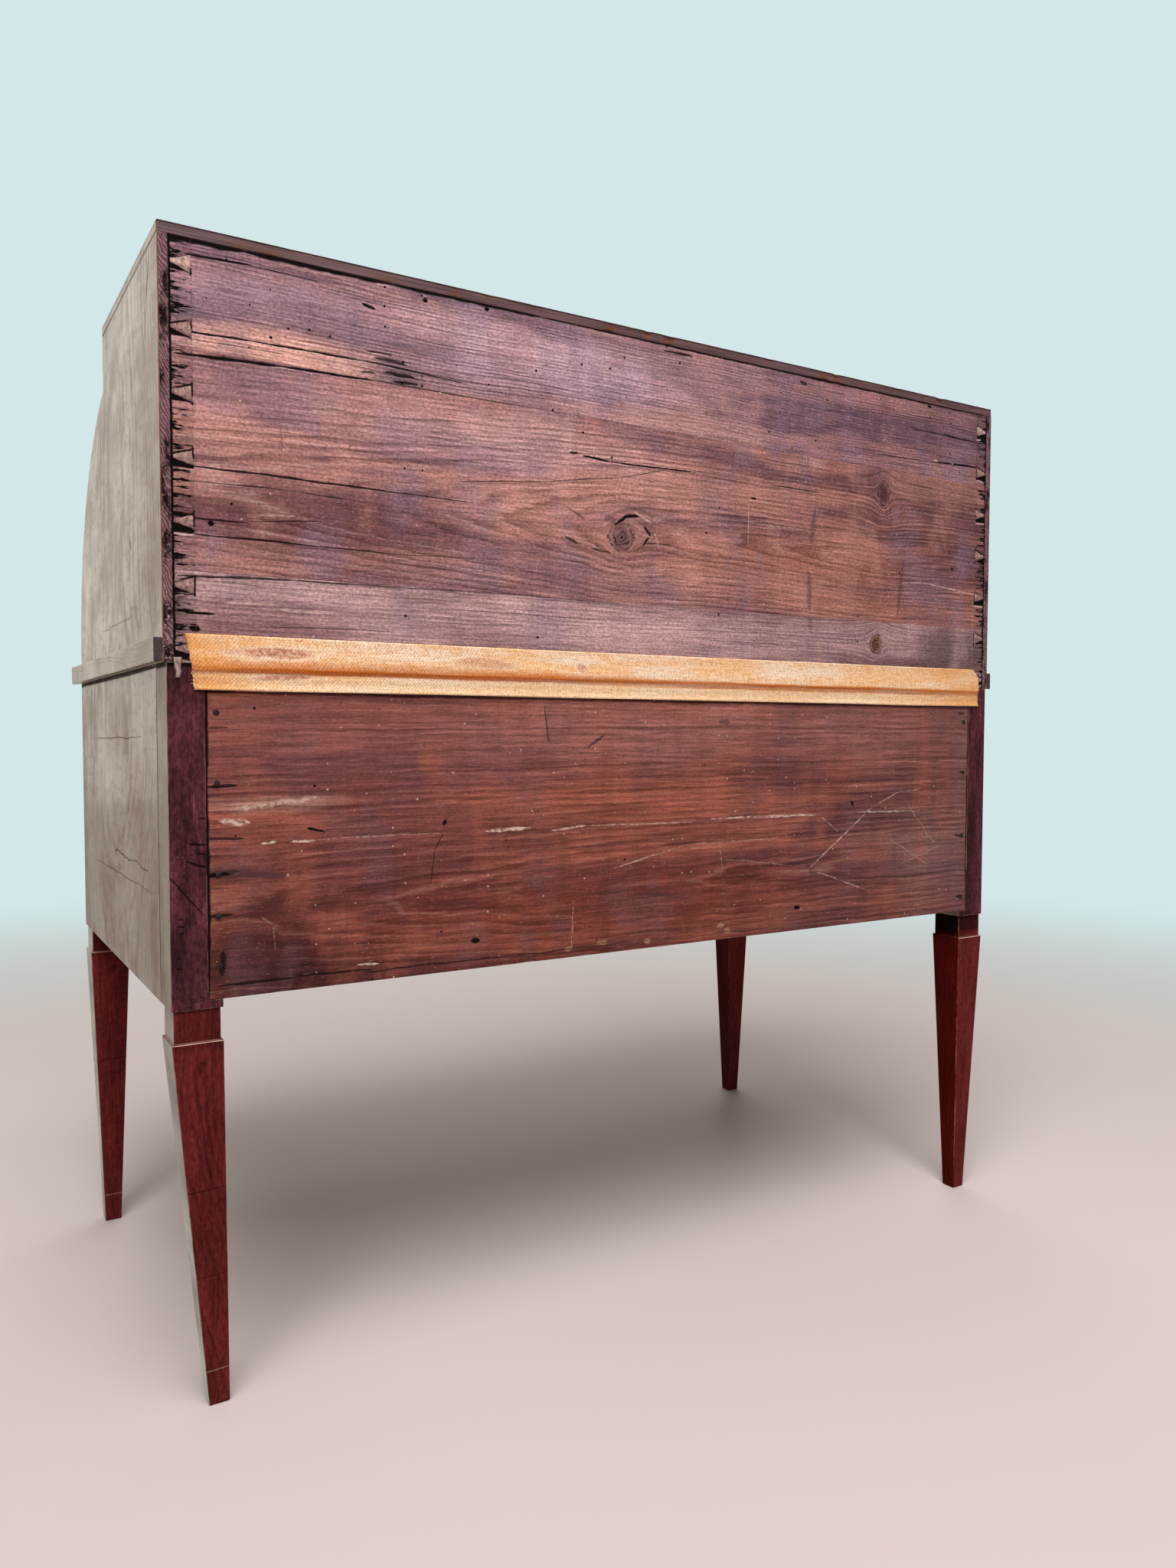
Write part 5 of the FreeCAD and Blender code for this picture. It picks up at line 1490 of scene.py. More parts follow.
# Painted shade: the inner faces, turned under the desk, take a darker copy of the unpolished mahogany.
SHADED_INNER_LEG_FACE = replace(
    REAR_LEG_FACE, name="dark leg mahogany", ground=(0.078, 0.0038, 0.0022), dark=(0.028, 0.0011, 0.0008),
    # Painted shade at the necks of the legs.
    marks=marks(Tone.CRACK_AND_SHADOW, (346, -440, 346, -500, 26.0, 0.95, 1.0), (346, 440, 346, 500, 26.0, 0.95, 1.0)),
)
REAR_POST_FACE = PolishedWood(
    name="unpolished post wood", ground=(0.096, 0.0250, 0.0320), dark=(0.034, 0.0085, 0.0120),
    grain=Grain.UPRIGHT, spacing=2.0, pith=(610, 180), wander=24, seed=59.0, fibre_weight=0.42,
    roughness=0.5, specular=0.08, sheen=0.0, speckle=0.40, blotch=0.50, spots=0.5,
    wear=(0.28, 0.165, 0.155), wear_amount=0.6,
    marks=marks(
        Tone.CRACK_AND_SHADOW,
        # The first line, at 642 mm, is a painted shadow under the side moulding.
        (642, 450, 642, 510, 3.6, 0.95, 0.6), (470, 498, 434, 469, 1.0, 0.9, 1.0),
        (360, 484, 425, 484, 34.0, 0.36, 3.0), (517, 473, 516, 467, 1.2, 0.8, 2.0),
        (494, 482, 493, 467, 1.5, 0.9, 2.5), (486, 475, 485, 467, 1.2, 0.8, 2.0),
        (479, 483, 474, 467, 1.5, 0.9, 3.0), (433, 490, 433, 486, 1.3, 0.8, 1.5),
        (427, 490, 427, 485, 1.3, 0.8, 1.5), (421, 489, 421, 485, 1.3, 0.8, 1.5),
        (400, 491, 400, 487, 1.2, 0.7, 1.5), (392, 491, 391, 486, 1.2, 0.7, 1.5),
    ),
)
POST_VENEER = replace(
    REAR_POST_FACE, name="post veneer", ground=(0.165, 0.055, 0.034), dark=(0.080, 0.024, 0.015),
    # The post veneer keeps only the first mark, the painted shadow under the moulding.
    roughness=0.36, specular=0.5, sheen=0.4, marks=REAR_POST_FACE.marks[:1],
)
PANEL_VENEER = PolishedWood(
    name="panel veneer", ground=(0.215, 0.075, 0.040), dark=(0.095, 0.030, 0.016), grain=Grain.SIDE,
    spacing=4.2, pith=(10, 40), wander=85, seed=71.0, roughness=0.29, specular=0.26, sheen=0.42, wave=0.22,
    grit=0.06, figure=0.5, streak=0.6, wear=(0.28, 0.14, 0.09), wear_amount=0.3,
    marks=marks(
        Tone.CRACK_AND_SHADOW,
        # The first line, at 642 mm, is a painted shadow under the side moulding.
        (642, -230, 642, 225, 3.6, 0.95, 0.6), (640, 220, 358, 220, 1.5, 0.8, 0.3),
        (580, -124, 582, 149, 0.9, 0.5, 2.0), (592, -51, 556, -50, 0.8, 0.4, 2.0),
        (532, -147, 502, -157, 1.0, 0.5, 2.0), (444, -152, 446, 192, 0.9, 0.6, 1.5),
        (466, -14, 466, 94, 1.3, 0.7, 5.0), (466, 94, 463, 172, 1.1, 0.6, 4.0),
    ) + marks(Tone.SCRATCH, (610, 60, 500, 110, 0.8, 0.4, 4.0), (540, 150, 420, 120, 0.8, 0.35, 4.0)),
)
CARCASS = PolishedWood(
    name="carcass softwood", ground=(0.40, 0.245, 0.135), dark=(0.26, 0.135, 0.065), grain=Grain.DEPTH,
    spacing=3.6, pith=(60, 90), wander=40, seed=73.0, ring_weight=0.6, fibre_weight=0.22, roughness=0.66,
    sheen=0.0, wave=0.1, wear=(0.46, 0.30, 0.18), wear_amount=0.4,
)
PARTITION_WOOD = replace(
    CARCASS, name="partition softwood", ground=(0.200, 0.082, 0.042), dark=(0.110, 0.040, 0.020),
    end=(0.040, 0.022, 0.017), end_from=0.19,
)
DRAWER_VENEER = replace(FRONT_VENEER, name="drawer veneer", pith=(480, 55), seed=89.0)
DRAWER_WOOD = PolishedWood(
    name="drawer lining", ground=(0.42, 0.265, 0.145), dark=(0.27, 0.15, 0.075), grain=Grain.DEPTH,
    spacing=2.6, pith=(300, 120), wander=34, seed=79.0, ring_weight=0.5, fibre_weight=0.2, roughness=0.55,
    sheen=0.0, wave=0.06, wear=(0.50, 0.34, 0.20), wear_amount=0.4,
)

# Finishes of the nest, the slide and the metal
NEST_WOOD = PolishedWood(
    name="nest wood", ground=(0.26, 0.115, 0.055), dark=(0.15, 0.058, 0.027), grain=Grain.BACK,
    pith=(760, 130), wander=34, seed=83.0, ring_weight=0.4, roughness=0.36, sheen=0.2, wave=0.06,
    wear=(0.34, 0.19, 0.11), wear_amount=0.4,
)
SLIDE_WOOD = replace(NEST_WOOD, name="slide wood", grain=Grain.TOP, seed=101.0)
BRASS = Metal("old brass", (0.56, 0.37, 0.14), (0.23, 0.14, 0.055), 1.0, 0.27)
ARM_IRON = Metal("arm iron", (0.095, 0.086, 0.080), (0.045, 0.034, 0.028), 0.8, 0.5)
PIVOT_IRON = Metal("pivot iron", (0.10, 0.09, 0.085), (0.04, 0.032, 0.028), 0.85, 0.45)
NAIL_IRON = Metal("forged nails", (0.020, 0.014, 0.013), (0.008, 0.005, 0.005), 0.2, 0.7)


def ragged(place: float, seed: float, scale: float) -> float:
    """Smooth chance between about -1 and 1 along a line, with so many features to the metre."""
    return noise.noise(Vector((place * scale, seed * 7.31, seed * 3.17)))


def faces_back(face: Face) -> int:
    """1 for a face towards the back, and 0 for any other."""
    return 1 if face.normal.y > 0.6 else 0


def middle_height(node: str) -> float:
    """Height of the middle of a node."""
    low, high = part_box(node)
    return (low.z + high.z) / 2


def loft(
    shape: bmesh.types.BMesh, rows: Sequence[Sequence[bmesh.types.BMVert]], tip: Optional[Vector] = None,
) -> None:
    """Closes a skin over rings of points, with flat ends or a point at the last.

    Args:
        shape: the shape that holds the points.
        rows: the rings, all of one size.
        tip: the point that the last ring is drawn to.
    """
    size = len(rows[0])
    for first, second in zip(rows, rows[1:]):
        for i in range(size):
            shape.faces.new((first[i], first[(i + 1) % size], second[(i + 1) % size], second[i]))
    shape.faces.new(rows[0])
    if tip is None:
        shape.faces.new(rows[-1])
    else:
        crown = shape.verts.new(tip)
        for i in range(size):
            shape.faces.new((rows[-1][i], rows[-1][(i + 1) % size], crown))
    bmesh.ops.recalc_face_normals(shape, faces=shape.faces)


def add_object(name: str, data: bpy.types.ID) -> Piece:
    """Object at the origin that holds a mesh, a lamp or a camera."""
    made = bpy.data.objects.new(name, data)
    bpy.context.scene.collection.objects.link(made)
    return made


def settle(piece: Piece) -> None:
    """Turns a piece with live modifiers into a plain mesh.

    Args:
        piece: the piece.
    """
    bpy.context.view_layer.update()
    rough = piece.data
    made = bpy.data.meshes.new_from_object(piece.evaluated_get(bpy.context.evaluated_depsgraph_get()))
    piece.modifiers.clear()
    piece.data = made
    bpy.data.meshes.remove(rough)


class Scatter:
    """Geometry tree that sets one small shape on given points, each turned and sized a little differently."""

    KINDS = {
        "Shape": "NodeSocketObject", "Finish": "NodeSocketMaterial", "Least size": "NodeSocketFloat",
        "Most size": "NodeSocketFloat", "Least turn": "NodeSocketVector", "Most turn": "NodeSocketVector",
        "Seed": "NodeSocketInt",
    }

    def __init__(self, name: str) -> None:
        """Builds the tree.

        Args:
            name: the tree's name.
        """
        self.tree = bpy.data.node_groups.new(name, "GeometryNodeTree")
        self.tree.is_modifier = True
        face = self.tree.interface
        face.new_socket(name="Geometry", in_out="INPUT", socket_type="NodeSocketGeometry")
        self.keys = {
            label: face.new_socket(name=label, in_out="INPUT", socket_type=kind).identifier
            for label, kind in self.KINDS.items()
        }
        face.new_socket(name="Geometry", in_out="OUTPUT", socket_type="NodeSocketGeometry")
        graph = Graph(self.tree)
        source = graph.feed(graph.add("NodeGroupInput"))
        points = graph.add("GeometryNodeMeshToPoints", source["Geometry"])
        shape = graph.add("GeometryNodeObjectInfo", source["Shape"], transform_space="ORIGINAL")
        size = self.chance(graph, "FLOAT", source["Least size"], source["Most size"], source["Seed"])
        turn = self.chance(graph, "FLOAT_VECTOR", source["Least turn"], source["Most turn"], source["Seed"])
        placed = graph.add("GeometryNodeInstanceOnPoints", points.outputs[0])
        graph.feed(placed, Instance=shape.outputs["Geometry"], Rotation=turn, Scale=size)
        real = graph.add("GeometryNodeRealizeInstances", placed.outputs[0])
        dressed = graph.add("GeometryNodeSetMaterial", real.outputs[0])
        graph.feed(dressed, Material=source["Finish"])
        graph.add("NodeGroupOutput", dressed.outputs[0])

    @staticmethod
    def chance(graph: Graph, kind: str, least: Wire, most: Wire, seed: Wire) -> Socket:
        """Random number or vector for each point.

        Args:
            graph: the tree's graph.
            kind: FLOAT or FLOAT_VECTOR.
            least: smallest.
            most: largest.
            seed: which throw.

        Returns:
            The random value.
        """
        node = graph.add("FunctionNodeRandomValue", data_type=kind)
        tail = "_001" if kind == "FLOAT" else ""
        inputs = {socket.identifier: socket for socket in node.inputs}
        for key, value in (("Min" + tail, least), ("Max" + tail, most), ("Seed", seed)):
            graph.put(inputs[key], value)
        return next(socket for socket in node.outputs if socket.identifier == "Value" + tail)

    def lay(
        self, name: str, points: Sequence[Vector], shape: Piece, finish: Material, sizes: Spot = (1.0, 1.0),
        turn: Place = NOWHERE, seed: int = 3,
    ) -> Piece:
        """Sets a shape on points and gives the result as a plain mesh.

        Args:
            name: the piece's name.
            points: where the shapes go.
            shape: the small shape, made about its own origin, which is removed.
            finish: its material.
            sizes: smallest and largest size.
            turn: largest turn about the three axes, either way.
            seed: which throw.

        Returns:
            The piece.
        """
        mesh = bpy.data.meshes.new(name)
        mesh.from_pydata([tuple(point) for point in points], [], [])
        piece = add_object(name, mesh)
        modifier = piece.modifiers.new("scatter", "NODES")
        modifier.node_group = self.tree
        values = (shape, finish, *sizes, tuple(-angle for angle in turn), turn, seed)
        for label, value in zip(self.KINDS, values):
            modifier[self.keys[label]] = value
        settle(piece)
        bpy.data.objects.remove(shape)
        return piece


@dataclass
class Bench:
    """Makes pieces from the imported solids, dresses them and seats them on their bodies.

    sharp is the angle from which an edge is rounded, crease the angle from which it is shaded sharp, and
    level the angle under which two faces count as one.
    """

    nodes: dict[str, Piece]
    effects: Effects
    scatter: Scatter
    made: dict[str, Material] = field(default_factory=dict)
    sharp: float = math.radians(25.0)
    crease: float = math.radians(18.0)
    level: float = math.radians(0.4)

    def material(self, finish: Finish) -> Material:
        """Material of a finish, made the first time that it is asked for.

        Args:
            finish: the finish.

        Returns:
            The material.
        """
        if finish.name not in self.made:
            surface = Surface(finish.name, self.effects)
            finish.lay(surface)
            self.made[finish.name] = surface.material
        return self.made[finish.name]

    def softened(self, node: str, width: float) -> Piece:
        """Copy of a node with its long edges rounded, and a number named edge that is 1 along them.

        Args:
            node: the node.
            width: width of the rounding, in mm.

        Returns:
            The piece.
        """
        shape = bmesh.new()
        shape.from_mesh(self.nodes[node].data)
        bmesh.ops.remove_doubles(shape, verts=shape.verts, dist=2e-6)
        bmesh.ops.dissolve_limit(
            shape, angle_limit=self.level, verts=shape.verts, edges=shape.edges, delimit=set(),
        )
        reach = width * MM
        edges = [
            edge for edge in shape.edges
            if len(edge.link_faces) == 2 and edge.calc_length() > 3.2 * reach
            and edge.calc_face_angle(0.0) > self.sharp
        ]
        made = bmesh.ops.bevel(
            shape, geom=edges, offset=reach, offset_type="OFFSET", segments=2, profile=0.6, affect="EDGES",
            clamp_overlap=False,
        )
        rounded = set(made["faces"])
        layer = shape.verts.layers.float.new("edge")
        for vertex in shape.verts:
            inside = vertex.link_faces and all(face in rounded for face in vertex.link_faces)
            vertex[layer] = 1.0 if inside else 0.0
        return self.piece(f"{node}_finished", shape)

    def piece(self, name: str, shape: bmesh.types.BMesh) -> Piece:
        """Object at the origin from a finished shape.

        Args:
            name: the piece's name.
            shape: its shape, which is freed.

        Returns:
            The piece.
        """
        mesh = bpy.data.meshes.new(name)
        shape.to_mesh(mesh)
        shape.free()
        mesh.shade_smooth()
        mesh.set_sharp_from_angle(angle=self.crease)
        return add_object(name, mesh)

    def dress(self, piece: Piece, *finishes: Finish, choice: Optional[Callable[[Face], int]] = None) -> None:
        """Gives a piece its finishes.

        Args:
            piece: the piece.
            finishes: the finishes.
            choice: number of the finish that a face takes, where there is more than one.
        """
        for finish in finishes:
            piece.data.materials.append(self.material(finish))
        if choice:
            for face in piece.data.polygons:
                face.material_index = choice(face)

    def seat(self, piece: Piece, node: str, slot: str, stands_in: bool = True) -> None:
        """Lets a piece ride on a node's body.

        Args:
            piece: the piece.
            node: the node.
            slot: the record's material slot; not used.
            stands_in: whether the piece takes the node's place.
        """
        body = self.nodes[node]["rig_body"]
        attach(piece, body)
        if stands_in:
            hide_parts(node)
        LOG.info("%s: %d faces on %s", piece.name, len(piece.data.polygons), body)

    def round_off(
        self, node: str, width: float, slot: str, *finishes: Finish,
        choice: Optional[Callable[[Face], int]] = None,
    ) -> None:
        """Puts a softened and dressed copy in a node's place.

        Args:
            node: the node.
            width: width of the rounding, in mm.
            slot: the record's material slot.
            finishes: its finishes.
            choice: number of the finish that a face takes, where there is more than one.
        """
        piece = self.softened(node, width)
        self.dress(piece, *finishes, choice=choice)
        self.seat(piece, node, slot)

    def paint(self, node: str, finish: Finish) -> None:
        """Gives a node that keeps its own shape a finish.

        Args:
            node: the node.
            finish: its finish.
        """
        slots = self.nodes[node].material_slots
        if not slots:
            self.nodes[node].data.materials.append(self.material(finish))
        for slot in slots:
            slot.material = self.material(finish)
        LOG.info("%s: painted", node)

    def worn_board(
        self, node: str, radii: Callable[[float, int], float], step: float, inset: float = 0.6,
    ) -> Piece:
        """Long board with uneven worn edges, in the place of a plain one.

        Args:
            node: the plain board, which runs along X.
            radii: rounding in metres at a place along X, for each edge: 0 back low, 1 front low,
                2 front high, 3 back high.
            step: distance between sections, in mm.
            inset: how far the ends are bevelled, in mm.

        Returns:
            The piece.
        """
        low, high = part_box(node)
        bevel = inset * MM
        length = high.x - low.x - 2 * bevel
        count = max(2, round((high.x - low.x) / (step * MM)))
        places = [(low.x + bevel + length * i / count, 0.0) for i in range(count + 1)]
        corners = (
            (high.y, low.z, -1, 1), (low.y, low.z, 1, 1), (low.y, high.z, 1, -1), (high.y, high.z, -1, -1),
        )
        shape = bmesh.new()
        layer = shape.verts.layers.float.new("edge")
        rows = []
        for x, shrink in [(low.x, bevel), *places, (high.x, bevel)]:
            row = []
            for number, (y, z, inward, upward) in enumerate(corners):
                radius = radii(x, number)
                for turn in (0.0, 0.5, 1.0):
                    angle = turn * math.pi / 2
                    ahead = radius * (1.0 - math.sin(angle)) + shrink
                    aloft = radius * (1.0 - math.cos(angle)) + shrink
                    if number % 2:
                        ahead, aloft = aloft, ahead
                    vertex = shape.verts.new((x, y + inward * ahead, z + upward * aloft))
                    vertex[layer] = 1.0 if turn == 0.5 else 0.0
                    row.append(vertex)
            rows.append(row)
        loft(shape, rows)
        return self.piece(f"{node}_finished", shape)


@dataclass(frozen=True)
class TurnedKnob:
    """Turned brass knob: how far it stands out and the radii of its head and foot, in mm."""

    reach: float
    head: float
    foot: float
    sides: int = 40

    def outline(self) -> list[Spot]:
        """Heights and radii of the knob's rings, from its foot to its head.

        Returns:
            The rings, in mm.
        """
        neck = 0.46 * self.head
        middle = self.reach - 0.82 * self.head
        turned = (
            (0.0, self.foot * 0.98), (0.05, self.foot), (0.085, self.foot * 0.97), (0.10, self.foot * 0.82),
            (0.13, self.foot * 0.62), (0.19, neck * 1.12), (0.27, neck), (0.33, neck * 1.05),
            (0.36, neck * 1.32), (0.39, neck * 1.38), (0.42, neck * 1.26),
        )
        angles = [math.radians(-58.0 + 146.0 * i / 12) for i in range(1, 12)]
        ball = [
            (middle + 0.82 * self.head * math.sin(angle), self.head * math.cos(angle)) for angle in angles
        ]
        return [(share * self.reach, radius) for share, radius in turned] + ball

    def set(self, bench: Bench, node: str, points: Sequence[Vector], outward: Vector = FORWARD) -> None:
        """Sets turned knobs in the place of a node's plain ones.

        Args:
            bench: where they are made.
            node: the node.
            points: middles of their feet.
            outward: direction that they stand out in.
        """
        shape = bmesh.new()
        layer = shape.verts.layers.float.new("edge")
        turn = Vector((0.0, 0.0, MM)).rotation_difference(outward).to_matrix() * MM
        rows = []
        for height, radius in self.outline():
            row = []
            for i in range(self.sides):
                angle = 2 * math.pi * i / self.sides
                point = Vector((radius * math.cos(angle), radius * math.sin(angle), height))
                vertex = shape.verts.new(turn @ point)
                vertex[layer] = 1.0 if radius > 0.93 * self.head else 0.0
                row.append(vertex)
            rows.append(row)
        loft(shape, rows, turn @ Vector((0.0, 0.0, self.reach)))
        pattern = bench.piece("knob_pattern", shape)
        knobs = bench.scatter.lay(f"{node}_finished", points, pattern, bench.material(BRASS))
        bench.seat(knobs, node, "brass")


LARGE_KNOB = TurnedKnob(26.0, 10.5, 11.0)
SMALL_KNOB = TurnedKnob(16.0, 6.5, 7.0)


@dataclass
class Assembly:
    """Sub-assembly of the desk, made at the bench."""

    bench: Bench


@dataclass
class UpperBack(Assembly):
    """Three planks across the upper back, with their tails between the pins of the sides."""

    rounding: float = 0.5

    def build(self) -> None:
        """Makes and seats the planks."""
        for level, finish in (("top", TOP_PLANK), ("middle", MIDDLE_PLANK), ("bottom", BOTTOM_PLANK)):
            self.bench.round_off(f"back_plank_{level}", self.rounding, "back_softwood", finish)


@dataclass
class LowerBack(Assembly):
    """Wide lower back board, and the forged nails that hold it. Sizes are in mm."""

    step: float = 4.0
    head: float = 2.7
    head_height: float = 1.1
    head_sides: int = 9
    nails: tuple[Spot, ...] = (
        (457, 391), (457, 433), (457, 468), (457, 544), (457, 603), (-457, 381), (-457, 459), (-457, 538),
        (-457, 601),
    )

    def edge_radius(self, x: float, number: int) -> float:
        """Rounding of the board's edges, more chipped below.

        Args:
            x: place along the board.
            number: which edge.

        Returns:
            The radius in metres.
        """
        chip = max(0.0, ragged(x, number + 2.0, 55.0) - 0.25) * 4.0
        return (0.7 + 0.25 * ragged(x, number, 14.0) + (chip if number < 2 else 0.2 * chip)) * MM

    def nail(self) -> Piece:
        """Forged nail head, low and uneven, facing back from its own origin.

        Returns:
            The shape.
        """
        shape = bmesh.new()
        rows = []
        for share, rise in ((1.0, -0.45), (1.0, 0.175), (0.62, 0.5)):
            row = []
            for i in range(self.head_sides):
                angle = 2 * math.pi * i / self.head_sides
                uneven = 1.0 + 0.09 * math.sin(2.0 * angle + 0.6) + 0.06 * math.cos(5.0 * angle)
                radius = self.head * share * uneven
                point = Vector((radius * math.cos(angle), self.head_height * rise, radius * math.sin(angle)))
                row.append(shape.verts.new(point * MM))
            rows.append(row)
        loft(shape, rows, Vector((0.0, self.head_height * 0.62 * MM, 0.0)))
        return self.bench.piece("nail_pattern", shape)

    def build(self) -> None:
        """Makes and seats the board and its nails."""
        board = self.bench.worn_board("lower_back_board", self.edge_radius, self.step)
        self.bench.dress(board, LOWER_BOARD)
        self.bench.seat(board, "lower_back_board", "back_board")
        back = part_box("lower_back_board")[1].y
        points = [Vector((x * MM, back, z * MM)) for x, z in self.nails]
        iron = self.bench.material(NAIL_IRON)
        nails = self.bench.scatter.lay(
            "back_board_nails_finished", points, self.nail(), iron, (0.75, 1.05), (0.08, 3.1, 0.08), 5,
        )
        self.bench.seat(nails, "back_board_nails", "iron")


@dataclass
class SeamTape(Assembly):
    """Linen tape glued over the joint of the two cases, with one fold along it and ragged ends.

    fold_share is the fold's place across the tape. fold_height, cloth (the cloth's thickness), thread (the
    threads' radius) and off (how far the cloth lies off the back) are in mm.
    """

    columns: int = 420
    rows: int = 30
    fold_share: float = 0.39
    fold_height: float = 2.5
    cloth: float = 0.6
    off: float = 0.1
    thread: float = 0.16
    threads: int = 22

    def lift(self, x: float, share: float) -> float:
        """Height of the cloth over the back.

        Args:
            x: place along the tape, in metres.
            share: place across it, from 0 below to 1 above.

        Returns:
            The height in metres.
        """
        offset = share - self.fold_share - 0.05 * ragged(x, 1.0, 6.0)
        width = 0.30 if offset > 0 else 0.042
        ridge = self.fold_height * (0.85 + 0.25 * ragged(x, 2.0, 9.0)) * math.exp(-(offset / width) ** 2)
        second = 0.5 * (0.6 + ragged(x, 6.0, 5.0)) * math.exp(-((offset + 0.16) / 0.05) ** 2)
        lower_edge = (1.2 + 0.8 * ragged(x, 3.0, 11.0)) * max(0.0, 1.0 - share / 0.13) ** 1.5
        upper_edge = max(0.0, 0.5 * ragged(x, 4.0, 8.0)) * max(0.0, (share - 0.9) / 0.1)
        swell = 0.18 * (1.0 + ragged(x, 5.0 + 3.0 * share, 16.0))
        return (ridge + max(0.0, second) + max(0.0, lower_edge) + upper_edge + swell) * MM

    @staticmethod
    def ends(share: float) -> Spot:
        """How far the left and right ends are cut back: a corner off at the left, slanting at the right.

        Args:
            share: place across the tape, from 0 below to 1 above.

        Returns:
            Both distances in metres.
        """
        left = 0.0012 + 0.0010 * ragged(share, 7.0, 9.0) + 0.009 * max(0.0, (share - 0.74) / 0.26) ** 1.4
        right = 0.0012 + 0.0010 * ragged(share, 9.0, 9.0) + 0.0065 * (1.0 - share)
        return left, right

    def build(self) -> None:
        """Makes and seats the tape and its loose threads."""
        low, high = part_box("seam_tape")
        tape = self.lay_cloth(low, high)
        # The cloth has no sharp edges.
        tape.data.shade_smooth()
        thick = tape.modifiers.new("cloth", "SOLIDIFY")
        thick.thickness = self.cloth * MM
        thick.offset = 1.0
        settle(tape)
        self.bench.dress(tape, LINEN)
        self.bench.seat(tape, "seam_tape", "linen")
        self.loose_threads(low, high)

    def lay_cloth(self, low: Vector, high: Vector) -> Piece:
        """Single face of the cloth, with places along and across it in metres.

        Args:
            low: lowest corner of the tape.
            high: highest corner of the tape.

        Returns:
            The cloth, without its thickness.
        """
        length = high.x - low.x
        width = high.z - low.z
        shape = bmesh.new()
        layer = shape.loops.layers.uv.new("tape")
        places = {}
        grid = []
        for i in range(self.columns + 1):
            column = []
            for j in range(self.rows + 1):
                share = j / self.rows
                left, right = self.ends(share)
                x = low.x + left + (length - left - right) * i / self.columns
                z = low.z + width * share
                z += 0.0006 * ragged(x, 9.0, 7.0) * (1.0 - share) + 0.0005 * ragged(x, 10.0, 5.0) * share
                vertex = shape.verts.new((x, low.y + self.off * MM + self.lift(x, share), z))
                places[vertex] = (length * i / self.columns, width * share)
                column.append(vertex)
            grid.append(column)
        for first, second in zip(grid, grid[1:]):
            for j in range(self.rows):
                face = shape.faces.new((first[j], first[j + 1], second[j + 1], second[j]))
                for loop in face.loops:
                    loop[layer].uv = places[loop.vert]
        return self.bench.piece("seam_tape_cloth", shape)

    def loose_threads(self, low: Vector, high: Vector) -> Piece:
        """Short threads that stand out of the tape's right end.

        Args:
            low: lowest corner of the tape.
            high: highest corner of the tape.

        Returns:
            The threads.
        """
        shape = bmesh.new()
        rows = []
        for reach, sag in ((0.0, 0.0), (1.8, 0.2), (3.2, 0.7), (4.2, 0.9)):
            row = []
            for turn in (0.0, 2.1, 4.2):
                point = Vector((reach, self.thread * math.cos(turn), self.thread * math.sin(turn) - sag))
                row.append(shape.verts.new(point * MM))
            rows.append(row)
        loft(shape, rows)
        points = []
        for i in range(self.threads):
            share = (i + 0.5 + 0.3 * ragged(i * 0.1, 12.0, 10.0)) / self.threads
            x = high.x - self.ends(share)[1] - 0.003
            z = low.z + (high.z - low.z) * share
            points.append(Vector((x, low.y + 0.0009 + self.lift(x, share), z)))
        pattern = self.bench.piece("thread_pattern", shape)
        linen = self.bench.material(LINEN)
        piece = self.bench.scatter.lay(
            "seam_tape_threads", points, pattern, linen, (0.6, 1.2), (0.6, 0.5, 0.25), 9,
        )
        self.bench.seat(piece, "seam_tape", "linen", stands_in=False)
        return piece


